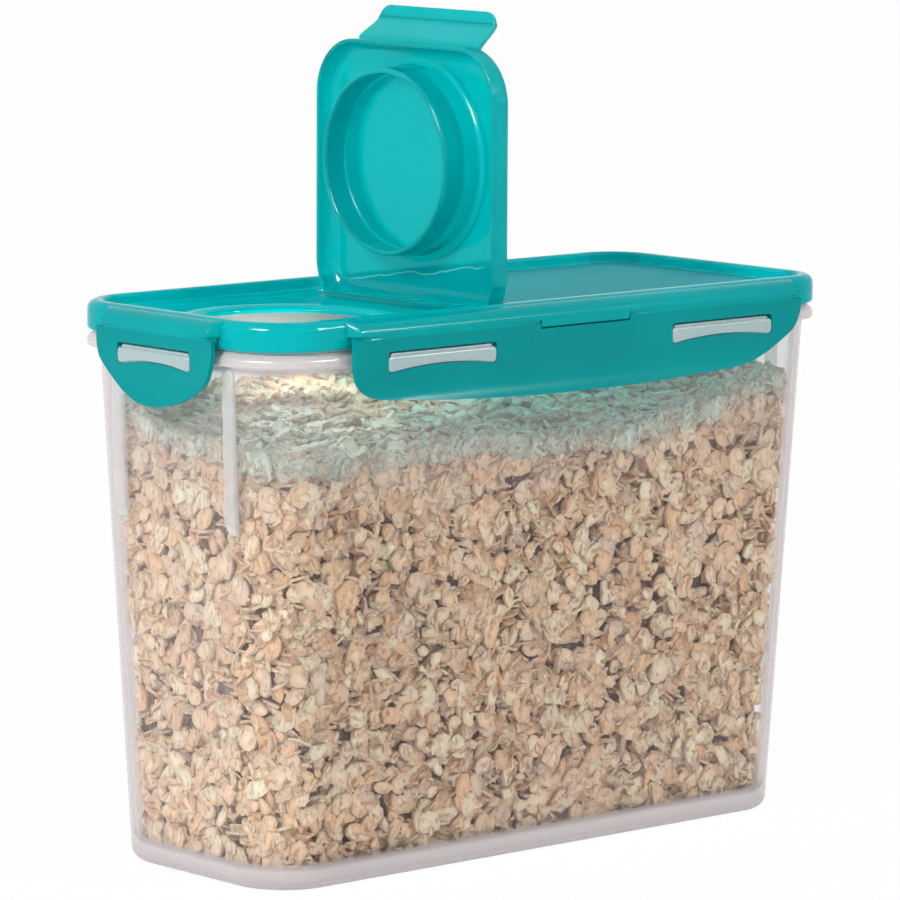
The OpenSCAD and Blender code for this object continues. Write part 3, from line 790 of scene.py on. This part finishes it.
def lock_out_at(z, low):
    """How far the outer face stands out at a height: upright above, bent in, then flared to the lip."""
    heights = [low, low + 1.6, low + 3.2, low + 5, low + 7.5, SLOT_LOW - 2.2, SLOT_LOW + 1.5, LOCK_TOP]
    shape = [1.4, 0.55, -0.1, -0.65, -1.0, -0.8, 0, 0]
    return LOCK_OUT + float(np.interp(z, heights, shape))


def make_lock(name, half, low, front, rear, slots, slot_half, notch=None):
    """A lock made with its outside along +X and its middle at the origin; front is its end at -y."""
    front_edge, rear_edge = lock_half_edge(half, low, *front), lock_half_edge(half, low, *rear)
    edge = [(-y, z) for y, z in reversed(front_edge)][:-1] + rear_edge
    shares = [0, 0.035, 0.075, 0.12, 0.17, 0.23, 0.3, 0.38, 0.46, 0.55, 0.66, 0.8, 1]
    loops = []
    for y, z0 in edge:
        heights = [z0 + (LOCK_TOP - z0) * t for t in shares]
        outer = [(lock_out_at(z, low), y, z) for z in heights]
        loops.append(outer + [(u - LOCK_T, y, z) for u, y, z in reversed(outer)])
    lock = loft(name, loops)
    for y in slots:
        boolean(lock, slot_block("slot_space", slot_half, y, 0, 0, -4, 8))
    if notch:
        section = [(-4, TONGUE_LOW - LUG_GAP), (8, TONGUE_LOW - LUG_GAP), (8, 190), (-4, 190)]
        boolean(lock, loft("notch_space", [[(u, y, z) for u, z in section] for y in (-notch, notch)]))
    soften(lock, 0.4, 3)
    return lock


def turn_to_wall(obj, i, along=0.0):
    """Moves a piece made with its outside along +X to its wall; a left one mirrors the right one."""
    only(obj)
    bpy.ops.object.mode_set(mode="EDIT")
    bpy.ops.mesh.select_all(action="SELECT")
    bpy.ops.transform.translate(value=(0, along * MM, 0))
    if i == 3:
        bpy.ops.transform.resize(value=(1, -1, 1), center_override=(0, 0, 0))
        bpy.ops.mesh.normals_make_consistent(inside=False)
    bpy.ops.object.mode_set(mode="OBJECT")
    turn = (math.pi, 0, -math.pi / 2, math.pi / 2)[i]
    x = (-RIM_L / 2, RIM_L / 2, LOCK_MIDDLE, LOCK_MIDDLE)[i]
    y = (0, 0, -RIM_W / 2, RIM_W / 2)[i]
    obj.rotation_euler = (0, 0, turn)
    obj.location = Vector((x, y, 0)) * MM
    return settle(obj, 45)


def slot_edge(half, d, more):
    """Outline of a slot moved in by d, its top lowered by more, as (y, z) points."""
    e, top, low = half - d, SLOT_TOP - d - more, SLOT_LOW + d
    points = arc(e - 1.2, top - 1.2, 1.2, 0, 90, 4) + arc(1.2 - e, top - 1.2, 1.2, 90, 180, 4)
    points += arc(1.5 - e, low + 1.5, 1.5, 180, 270, 5)
    points += [(t * (e - 1.5), low + SLOT_ARCH * (1 - t * t)) for t in np.linspace(-1, 1, 18)[1:-1]]
    return points + arc(e - 1.5, low + 1.5, 1.5, 270, 360, 5)


def slot_block(name, half, y, d, more, u0, u1):
    """A block with a slot's outline, from u0 to u1 outwards."""
    edge = slot_edge(half, d, more)
    return loft(name, [[(u, y + py, pz) for py, pz in edge] for u in (u0, u1)])


def make_lug(name, half):
    """Lug that fills a slot: a proud rounded body with a lower, shorter ledge along its top."""
    body = [(0.18, -1), (0.18, LOCK_OUT - 0.5), (0.28, LOCK_OUT - 0.15), (0.5, LOCK_OUT + 0.1)]
    body += [(0.9, LOCK_OUT + 0.25)]
    lug = loft(name, [[(u, py, pz) for py, pz in slot_edge(half, d, 1.4)] for d, u in body])
    top, end = SLOT_TOP - LUG_GAP - 0.2, half - 1.6
    ledge = []
    for u, d in ((-1, 0), (LOCK_OUT - 1.0, 0), (LOCK_OUT - 0.75, 0.08), (LOCK_OUT - 0.62, 0.3)):
        ring = arc(end - 0.8 - d, top - 0.8 - d, 0.8, 0, 90, 3)
        ring += arc(0.8 - end + d, top - 0.8 - d, 0.8, 90, 180, 3)
        ledge.append([(u, py, pz) for py, pz in ring + [(d - end, 175), (end - d, 175)]])
    boolean(lug, loft("ledge", ledge), "UNION")
    return lug


# ------------------------------------------------------------------- pour cap
def cap_edge_plan(d):
    """Outline of the cap seen square on, moved in by d, as (up from the hinge, y) points."""
    y_centre = CAP_W / 2 - CAP_R_HINGE
    dy = CAP_HINGE_W / 2 - y_centre
    up = CAP_HEEL + math.sqrt(CAP_R_HINGE**2 - dy**2)
    rh, rf = CAP_R_HINGE - d, CAP_R_FREE - d
    start = math.degrees(math.acos((up - CAP_HEEL - d) / rh))
    half = []
    for t in np.linspace(start, 90, 9):
        c, s = math.cos(math.radians(t)), math.sin(math.radians(t))
        half.append((up - rh * c, y_centre + rh * s))
    free_up, free_y = CAP_L - CAP_R_FREE, CAP_W / 2 - CAP_R_FREE
    for t in np.linspace(0, 90, 14):
        c, s = math.cos(math.radians(t)), math.sin(math.radians(t))
        half.append((free_up + rf * s, free_y + rf * c))
    return half + [(a, -y) for a, y in reversed(half)]


def cap_loop(d, out):
    """Loop of the open cap: moved in by d, at the given distance behind the hinge line."""
    return [(HINGE_X + out, y, HINGE_Z + a) for a, y in cap_edge_plan(d)]


def stand(obj):
    """Turns a piece spun about Z, its top upwards, to the place of the plug on the open cap."""
    obj.rotation_euler = (0, math.pi / 2, 0)
    obj.location = Vector((HINGE_X, 0, HINGE_Z + PLUG_UP)) * MM
    return obj


def make_cap():
    """Plate and side walls of the cap, with the round space for the dish cut through the plate."""
    top = CAP_PLATE + CAP_T
    path = [(8, top), (2.4, top)] + quarter(2.4, top, 0, top - 2.4, False, 6)
    path += [(0, CAP_EDGE + 0.5)] + quarter(0, CAP_EDGE + 0.5, 0.5, CAP_EDGE, True, 3)
    path += [(1.1, CAP_EDGE)] + quarter(1.1, CAP_EDGE, 1.5, CAP_EDGE + 0.4, False, 2)
    path += [(1.5, CAP_PLATE - 5.0)] + quarter(1.5, CAP_PLATE - 5.0, 6.0, CAP_PLATE, True, 8)
    path += [(8, CAP_PLATE)]
    cap = loft("cap_plate", [cap_loop(d, out) for d, out in path])
    boolean(cap, stand(spun("dish_space", [(0, 0), (PLUG_R + 2.4, 0), (PLUG_R + 2.4, 20), (0, 20)])))
    return settle(cap, 35)


def make_plug():
    """Plug ring under the plate, with the round dish sunk into it from above."""
    top, plate, end = CAP_PLATE + CAP_T, CAP_PLATE, CAP_PLATE - PLUG_H
    inner = PLUG_R - PLUG_T
    profile = [(0, 0.6), (inner - 1.0, 0.6)]
    profile += [(inner - 0.3 - d, z) for d, z in quarter(0.7, 0.6, 0, -0.2, False, 4)]
    profile += [(29.85, end + 1.0)] + [(29.85 + d, z) for d, z in quarter(0, end + 1.0, 0.95, end, True, 4)]
    profile += [(30.8 + d, z) for d, z in quarter(0, end, 0.95, end + 1.0, False, 4)]
    profile += [(PLUG_R, plate - 1.8)]
    profile += [(PLUG_R + d, z) for d, z in quarter(0, plate - 1.8, 1.8, plate, True, 5)]
    profile += [(PLUG_R + 2.4, plate), (PLUG_R + 2.4, top)]
    profile += [(inner + d, z) for d, z in quarter(1.8, top, 0, top - 1.8, False, 5)]
    profile += [(inner - 0.1, 3.0)]
    profile += [(inner - 0.1 - d, z) for d, z in quarter(0, 3.0, 0.9, 2.1, True, 4)] + [(0, 2.1)]
    return settle(stand(spun("plug_ring", profile)), 35)


def make_tab():
    """Thumb tab: leaves the cap's free end, slopes back and ends in a flatter lip with round corners."""
    path = [(CAP_L - 2.5, 7.85, 30.6), (CAP_L - 0.8, 7.9, 31.2), (CAP_L + 0.2, 8.3, 31.4)]
    path += [(CAP_L + 1.0, 9.2, 31.3), (CAP_L + 4.7, 14.4, 30.2), (CAP_L + 5.6, 15.4, 30.0)]
    path += [(CAP_L + 6.8, 16.05, 30.0), (CAP_L + 7.2, 16.12, 30.0)]
    tip, corner, lip_slope = CAP_L + 11.0, 5.6, 5.0
    for t in np.linspace(0, 88, 8)[1:]:
        c, s = math.cos(math.radians(t)), math.sin(math.radians(t))
        a = tip - corner + corner * s
        path.append((a, 16.12 + (a - CAP_L - 7.2) / lip_slope, 24.4 + corner * c))
    loops = []
    for k, (a, out, half) in enumerate(path):
        a0, o0 = path[max(k - 1, 0)][:2]
        a1, o1 = path[min(k + 1, len(path) - 1)][:2]
        run = math.hypot(a1 - a0, o1 - o0)
        na, no = -(o1 - o0) / run, (a1 - a0) / run
        t = 0.75 if k < len(path) - 1 else 0.45
        ring = arc(half - t, 0, t, -90, 90, 6) + arc(t - half, 0, t, 90, 270, 6)
        loops.append([(HINGE_X + out + no * n, y, HINGE_Z + a + na * n) for y, n in ring])
    return settle(loft("thumb_lip", loops), 50)


def make_cap_hinge():
    """Film hinge of the cap: rises out of the recess floor and runs into the cap's heel."""
    section = [(-3.2, 184.7), (-2.2, 184.85), (-1.3, 185.0), (-0.8, 185.25), (-0.5, 185.7)]
    section += [(0.2, 186.2), (1.2, 186.2), (1.4, 185.0), (1.4, 184.5), (-3.2, 184.5)]
    half = CAP_HINGE_W / 2
    loops = [[(HINGE_X + x, y, z) for x, z in section] for y in (-half, -half + 1, half - 1, half)]
    return settle(loft("film_hinge", loops), 60)


# --------------------------------------------------------------- put together
keeper, cap_body = "keeper", "cap"
finish_piece(make_bin(), keeper, frost, "container", slot="frosted_bin")
for sx in (-1, 1):
    for sy in (-1, 1):
        rib = make_rib(f"grip_rib_{'front' if sx < 0 else 'rear'}_{'right' if sy < 0 else 'left'}", sx, sy)
        finish_piece(rib, keeper, frost_rib, slot="frosted_bin")

finish_piece(make_lid(), keeper, teal_lid, "lid", slot="teal_lid")
WALLS = ("front", "rear", "right", "left")
end_lock = make_lock("end_lock", END_HALF, END_LOW, END_EDGE, END_EDGE, [0], END_SLOT_HALF)
side_lock = make_lock("side_lock", SIDE_HALF, SIDE_LOW, SIDE_EDGE_FRONT, SIDE_EDGE_REAR,
                      [-SIDE_SLOT_AT, SIDE_SLOT_AT], SIDE_SLOT_HALF, TONGUE_HALF + LUG_GAP)
end_lug, side_lug = make_lug("end_lug", END_SLOT_HALF), make_lug("side_lug", SIDE_SLOT_HALF)
for i, wall in enumerate(WALLS):
    on_end = i < 2
    half = END_HALF if on_end else SIDE_HALF
    lock = turn_to_wall(twin_of(end_lock if on_end else side_lock, wall + "_snap"), i)
    finish_piece(lock, wall + "_lock", teal, wall + "_lock", slot="teal_lock")
    land = make_land(i, wall + "_land", half, not on_end)
    finish_piece(land, keeper, teal_land, slot="teal_lid")
    reach, gap = half - 1.2, TONGUE_HALF + 0.6
    for n, (y0, y1) in enumerate([(-reach, reach)] if on_end else [(-reach, -gap), (gap, reach)]):
        web = make_web(i, f"{wall}_web_{n + 1}", half, y0, y1)
        web.data.materials.append(teal_land)
        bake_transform(web)
        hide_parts(wall + "_hinge")
    for n, along in enumerate([0] if on_end else [-SIDE_SLOT_AT, SIDE_SLOT_AT]):
        lug = turn_to_wall(twin_of(end_lug if on_end else side_lug, f"{wall}_lug_{n + 1}"), i, along)
        finish_piece(lug, keeper, lug_frost_shaded, "lock_lugs", slot="frosted_lug")
for pattern in (end_lock, side_lock, end_lug, side_lug):
    bpy.data.objects.remove(pattern)

finish_piece(make_cap(), cap_body, teal_cap, "pour_cap", slot="teal_cap")
finish_piece(make_plug(), cap_body, teal_cap, "pour_plug", slot="teal_plug")
finish_piece(make_tab(), cap_body, teal_cap, "thumb_tab", slot="teal_cap")
cap_hinge = make_cap_hinge()
cap_hinge.data.materials.clear()
cap_hinge.data.materials.append(teal)
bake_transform(cap_hinge)
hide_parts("cap_hinge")

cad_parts["gasket"].data.materials.clear()
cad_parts["gasket"].data.materials.append(rubber)


# ---------------------------------------------------------------------- oats
# The heap's top: its level at the right wall, its tilt, the swelling under the hole, the climb at the end.
HEAP_LEVEL, HEAP_RIGHT, HEAP_TILT = 140.5, -48.0, 0.15
HEAP_SWELL, HEAP_SWELL_AT, HEAP_SWELL_REACH = 2.2, -50.0, 40.0
HEAP_CLIMB, HEAP_CLIMB_FROM, HEAP_CLIMB_RUN = 13.0, 35.0, 80.0
FLAKES_AT_WALLS, FLAKES_ON_TOP, FLAKES_ON_FLOOR = 17000, 3000, 500
FLAKE_HALF_WALL, FLAKE_HALF_TOP = (3.3, 5.5), (3.0, 4.6)
OAT_SEED = 11


def heap_top(x, y):
    """Height of the oats' surface, in mm: higher to the plain end and the left side."""
    lumps = 1.3 * np.sin(x / 14 + 1) * np.cos(y / 11) + 0.9 * np.sin(x / 6.3 - y / 8)
    swell = HEAP_SWELL * np.exp(-(((x - HEAP_SWELL_AT) / HEAP_SWELL_REACH) ** 2))
    share = ((x - HEAP_CLIMB_FROM) / HEAP_CLIMB_RUN).clip(0, 1)
    climb = HEAP_CLIMB * share * share * (3 - 2 * share)
    return HEAP_LEVEL + HEAP_TILT * (y - HEAP_RIGHT) + swell + climb + lumps


def wall_place(share, z, inset):
    """Points of the bin's inner outline by share of its length, with the angle of the way out."""
    grow = DRAFT * np.minimum(z / COLLAR_LOW, 1.0) - inset
    half_l, half_w = BASE_L / 2 + grow, BASE_W / 2 + grow
    rear = share < 0.5
    r = np.where(rear, BASE_R_REAR - REAR_R_TAPER * z, BASE_R) - inset
    long_side, short_side, bend = half_l - r, 2 * (half_w - r), math.pi * r / 2
    run = np.where(rear, share, share - 0.5) * 2 * (2 * long_side + short_side + 2 * bend)
    along = run - long_side
    past = along - bend - short_side
    last = past - bend
    stretches = [along < 0, along < bend, past < 0, last < 0]
    angle = np.select(stretches, [-math.pi / 2, -math.pi / 2 + along / r, 0.0, past / r], math.pi / 2)
    x = np.select([along < 0, last < 0], [run, half_l - r + r * np.cos(angle)], long_side - last)
    y = np.where(angle <= 0, r - half_w + r * np.sin(angle), half_w - r + r * np.sin(angle))
    y = np.where((along >= bend) & (past < 0), along - bend - (half_w - r), y)
    flip = np.where(rear, 1.0, -1.0)
    return flip * x, flip * y, angle + np.where(rear, 0, math.pi)


def flake_pattern():
    """One flake: a round disc with a crease along it; ten points and a middle on each face."""
    a = np.arange(10) * math.tau / 10
    rim = np.stack([np.cos(a), np.sin(a)], 1)
    flat = np.concatenate([rim, [[0.0, 0.0]]])
    bend = 0.45 * flat[:, 0] ** 2 - 0.55 * np.abs(flat[:, 1])
    faces = []
    for i in range(10):
        j = (i + 1) % 10
        faces += [(i, j, 10), (j + 11, i + 11, 21), (i, i + 11, j + 11), (i, j + 11, j)]
    return np.concatenate([flat, flat]), np.concatenate([bend, bend]), np.array(faces)


def unit(vectors):
    """The same directions, each one long."""
    return vectors / np.linalg.norm(vectors, axis=1, keepdims=True)


def flake_places(rng):
    """Centre, facing and half length of every flake: against the walls, on top, on the floor."""
    walls = FLAKES_AT_WALLS
    half = rng.uniform(*FLAKE_HALF_WALL, walls) * rng.choice([1, 1, 1, 0.75, 0.5], walls)
    share, z = rng.random(walls), 7 + 153 * rng.random(walls)
    turn = wall_place(share, z, np.full(walls, 5.0))[2]
    out = np.stack([np.cos(turn), np.sin(turn), np.zeros(walls)], 1)
    settled = unit(rng.normal(0, 0.45, (walls, 3)) + np.array([0, 0, 1.0]))
    against = unit(out + rng.normal(0, 0.3, (walls, 3)))
    facing = np.where(rng.random((walls, 1)) < 0.5, settled, against)
    reach = half * np.sqrt((1 - (facing * out).sum(1) ** 2).clip(0, 1))
    inset = WALL + 1.6 + reach * 0.75 + 5.0 * rng.random(walls) ** 1.4
    x, y, turn = wall_place(share, z, inset)
    z = np.minimum(z, heap_top(x, y) - 0.5 - 1.5 * rng.random(walls))
    centre, facings, halves = [np.stack([x, y, z], 1)], [facing], [half]
    for count, level in ((FLAKES_ON_TOP, 1), (FLAKES_ON_FLOOR, 0)):
        reach_x, reach_y = (113, 43) if level else (104, 33)
        px, py = rng.uniform(-reach_x, reach_x, count), rng.uniform(-reach_y, reach_y, count)
        pz = heap_top(px, py) + rng.normal(0, 1.0, count) if level else 7.2 + rng.random(count) * 3
        centre.append(np.stack([px, py, pz], 1))
        facings.append(unit(rng.normal(0, 0.33 if level else 0.1, (count, 3)) + np.array([0, 0, 1.0])))
        halves.append(rng.uniform(*FLAKE_HALF_TOP, count))
    return np.concatenate(centre), np.concatenate(facings), np.concatenate(halves)


def flake_tones(rng, centre):
    """Tone of every flake: cream to tan, with painted teal light and shade on the heap's top where the teal
    lid is over it.
    """
    count = len(centre)
    tones = (srgb(255, 236, 207), srgb(242, 196, 152), srgb(236, 211, 188))
    cream, tan, dusty = (np.array(tone[:3]) for tone in tones)
    mix = rng.random((count, 1)) ** 1.2
    tone = cream * (1 - mix) + tan * mix
    tone = np.where(rng.random((count, 1)) < 0.1, dusty, tone)
    tone = tone * rng.normal(1, 0.06, (count, 1)).clip(0.8, 1.1)
    # Painted light and shade: flakes near the heap's top, away from the hole, take the teal of light through
    # the lid.
    below = heap_top(centre[:, 0], centre[:, 1]) - centre[:, 2]
    from_hole = np.hypot((centre[:, 0] + 34) / 52, (centre[:, 1] - 24) / 34)
    lid_light_tint = (1.6 - below / 2.2).clip(0, 1) * ((from_hole - 0.75) * 2.5).clip(0, 1)
    lid_light_tint = lid_light_tint * (0.7 + 0.3 * rng.random(count))
    lid_light_filter = np.array([0.60, 1.0, 1.2])
    tone = tone * (1 - lid_light_tint[:, None] * (1 - lid_light_filter))
    return np.c_[tone.clip(0, 1), np.ones(count)]


def pour_oats():
    """The bin's filling, one mesh of thousands of flakes round a dark core; it isn't part of the keeper."""
    rng = np.random.default_rng(OAT_SEED)
    centre, facing, half = flake_places(rng)
    count = len(centre)
    first = unit(np.cross(facing, rng.normal(size=(count, 3))))
    second = np.cross(facing, first)
    flat, bend, faces = flake_pattern()
    points = len(flat)
    ragged = 1 + rng.normal(0, 0.09, (count, points // 2))
    ragged = np.tile(ragged, (1, 2))
    width = half * rng.uniform(0.52, 0.88, count)
    curl = rng.uniform(-1.0, 1.4, (count, 1))
    thick = rng.uniform(0.35, 0.55, (count, 1)) * np.where(np.arange(points) < points // 2, 1, -1)
    height = thick + bend * curl + rng.normal(0, 0.08, (count, points))
    along, across = flat[:, 0] * ragged * half[:, None], flat[:, 1] * ragged * width[:, None]
    placed = centre[:, None] + along[:, :, None] * first[:, None]
    placed = placed + across[:, :, None] * second[:, None] + height[:, :, None] * facing[:, None]
    placed = placed.reshape(-1, 3) * MM
    corners = (faces[None] + (np.arange(count) * points)[:, None, None]).reshape(-1)
    mesh = bpy.data.meshes.new("oats")
    mesh.vertices.add(len(placed))
    mesh.vertices.foreach_set("co", placed.ravel())
    mesh.loops.add(len(corners))
    mesh.loops.foreach_set("vertex_index", corners)
    mesh.polygons.add(len(corners) // 3)
    mesh.polygons.foreach_set("loop_start", np.arange(0, len(corners), 3))
    mesh.update(calc_edges=True)
    tones = mesh.attributes.new("tone", "FLOAT_COLOR", "POINT")
    # Painted shade at each flake's rim and painted light on its middle.
    middle = np.arange(points) % (points // 2) == points // 2 - 1
    shade = np.tile(np.where(middle, 1.08, 0.82), count)[:, None]
    painted = (np.repeat(flake_tones(rng, centre), points, axis=0) * shade).clip(0, 1)
    tones.data.foreach_set("color", painted.ravel())
    mesh.materials.append(oat)
    oats = bpy.data.objects.new("oats", mesh)
    bpy.context.collection.objects.link(oats)
    only(oats)
    bpy.ops.object.shade_smooth_by_angle(angle=math.radians(50))


def pack_core():
    """Dark heart of the filling, behind the flakes: painted shade for the gaps between them."""
    loops = [bin_loop(z, d) for z, d in ((9, 12), (11, 8), (60, 7.5), (120, 7.5), (134, 7.5), (137, 11))]
    core = settle(loft("oat_core", loops))
    # Dark brown that stands for the shade deep among the flakes.
    sheet = Sheet("oat_shade", srgb(120, 100, 84), Roughness=0.95)
    shade = sheet.remap(sheet.noise(sheet.place, 300.0, 3), 0.35, 0.65)
    sheet.feed(sheet.blend(shade, srgb(78, 52, 40), srgb(132, 98, 78)), "Base Color")
    core.data.materials.append(sheet.material)


pour_oats()
pack_core()


# ------------------------------------------------------------- floor and light
FLOOR_GLOW = 0.96
WORLD_LEVEL = 0.63


def seeing_rays(bench):
    """1 for a ray that comes from the camera, a shiny surface or clear plastic, 0 for any other."""
    path = bench.node("ShaderNodeLightPath")
    seen = bench.math("MAXIMUM", path.outputs["Is Camera Ray"], path.outputs["Is Glossy Ray"])
    return bench.math("MAXIMUM", seen, path.outputs["Is Transmission Ray"])


def backdrop_material():
    """Nearly white for the rays that see it, with the object's shadow kept in the rest."""
    sheet = Sheet("pale_floor", (0.85, 0.85, 0.85, 1), Roughness=0.9)
    glow = sheet.node("ShaderNodeEmission")
    glow.inputs["Strength"].default_value = 1.0
    mix = sheet.node("ShaderNodeMixShader")
    sheet.join(sheet.math("MULTIPLY", seeing_rays(sheet), FLOOR_GLOW), mix.inputs["Fac"])
    sheet.join(sheet.shader.outputs[0], mix.inputs[1])
    sheet.join(glow.outputs[0], mix.inputs[2])
    sheet.join(mix.outputs[0], sheet.tree.nodes["Material Output"].inputs["Surface"])
    return sheet.material


def add_floor():
    clear_selection()
    bpy.ops.mesh.primitive_plane_add(size=12, location=(0, 0, 0))
    floor = bpy.context.object
    floor.name = "floor"
    floor.data.materials.append(backdrop_material())


def add_world(strength):
    """Even white light from all round, seen as plain white itself."""
    world = bpy.data.worlds.new("studio")
    bpy.context.scene.world = world
    world.use_nodes = True
    bench = Bench(world.node_tree)
    ground = bench.tree.nodes["Background"]
    level = bench.node("ShaderNodeMix", data_type="FLOAT")
    level.inputs[2].default_value = strength
    level.inputs[3].default_value = 1.0
    bench.join(seeing_rays(bench), level.inputs[0])
    bench.join(level.outputs[0], ground.inputs["Strength"])
    ground.inputs["Color"].default_value = (1, 1, 1, 1)


def add_softbox(name, place, width, height, power, gloss_only=False, aim=(0, 0, 0.15), colour=(1, 1, 1)):
    """A softbox that looks at the keeper; one for gloss alone shows in shiny surfaces and lights nothing."""
    light = bpy.data.lights.new(name, "AREA")
    light.shape = "RECTANGLE"
    light.size = width
    light.size_y = height
    light.energy = power
    light.color = colour
    lamp = bpy.data.objects.new(name, light)
    bpy.context.collection.objects.link(lamp)
    lamp.location = place
    lamp.rotation_euler = (Vector(aim) - Vector(place)).to_track_quat("-Z", "Y").to_euler()
    lamp.visible_camera = False
    lamp.visible_diffuse = not gloss_only
    lamp.visible_transmission = not gloss_only


add_floor()
add_world(WORLD_LEVEL)
add_softbox("left_softbox", (-2.3, -0.5, 1.5), 0.4, 0.4, 32)
add_softbox("right_softbox", (1.3, -2.1, 1.25), 0.35, 0.35, 12)
add_softbox("left_gloss", (-2.3, -0.45, 1.55), 1.3, 0.65, 360, gloss_only=True)
add_softbox("right_gloss", (1.3, -2.1, 1.3), 0.9, 0.4, 170, gloss_only=True)
add_softbox("light_through_hole", (-0.05, 0.015, 0.170), 0.04, 0.012, 0.011, aim=(-0.05, 0.06, 0.168))
add_softbox("light_on_heap", (-0.075, -0.015, 0.174), 0.05, 0.03, 0.013, aim=(-0.085, -0.035, 0.14))
add_softbox("light_through_lid", (0.045, 0, 0.179), 0.17, 0.07, 0.034, aim=(0.045, 0, 0),
            colour=(0.45, 0.96, 1.0))
bpy.context.scene.view_settings.view_transform = "Standard"
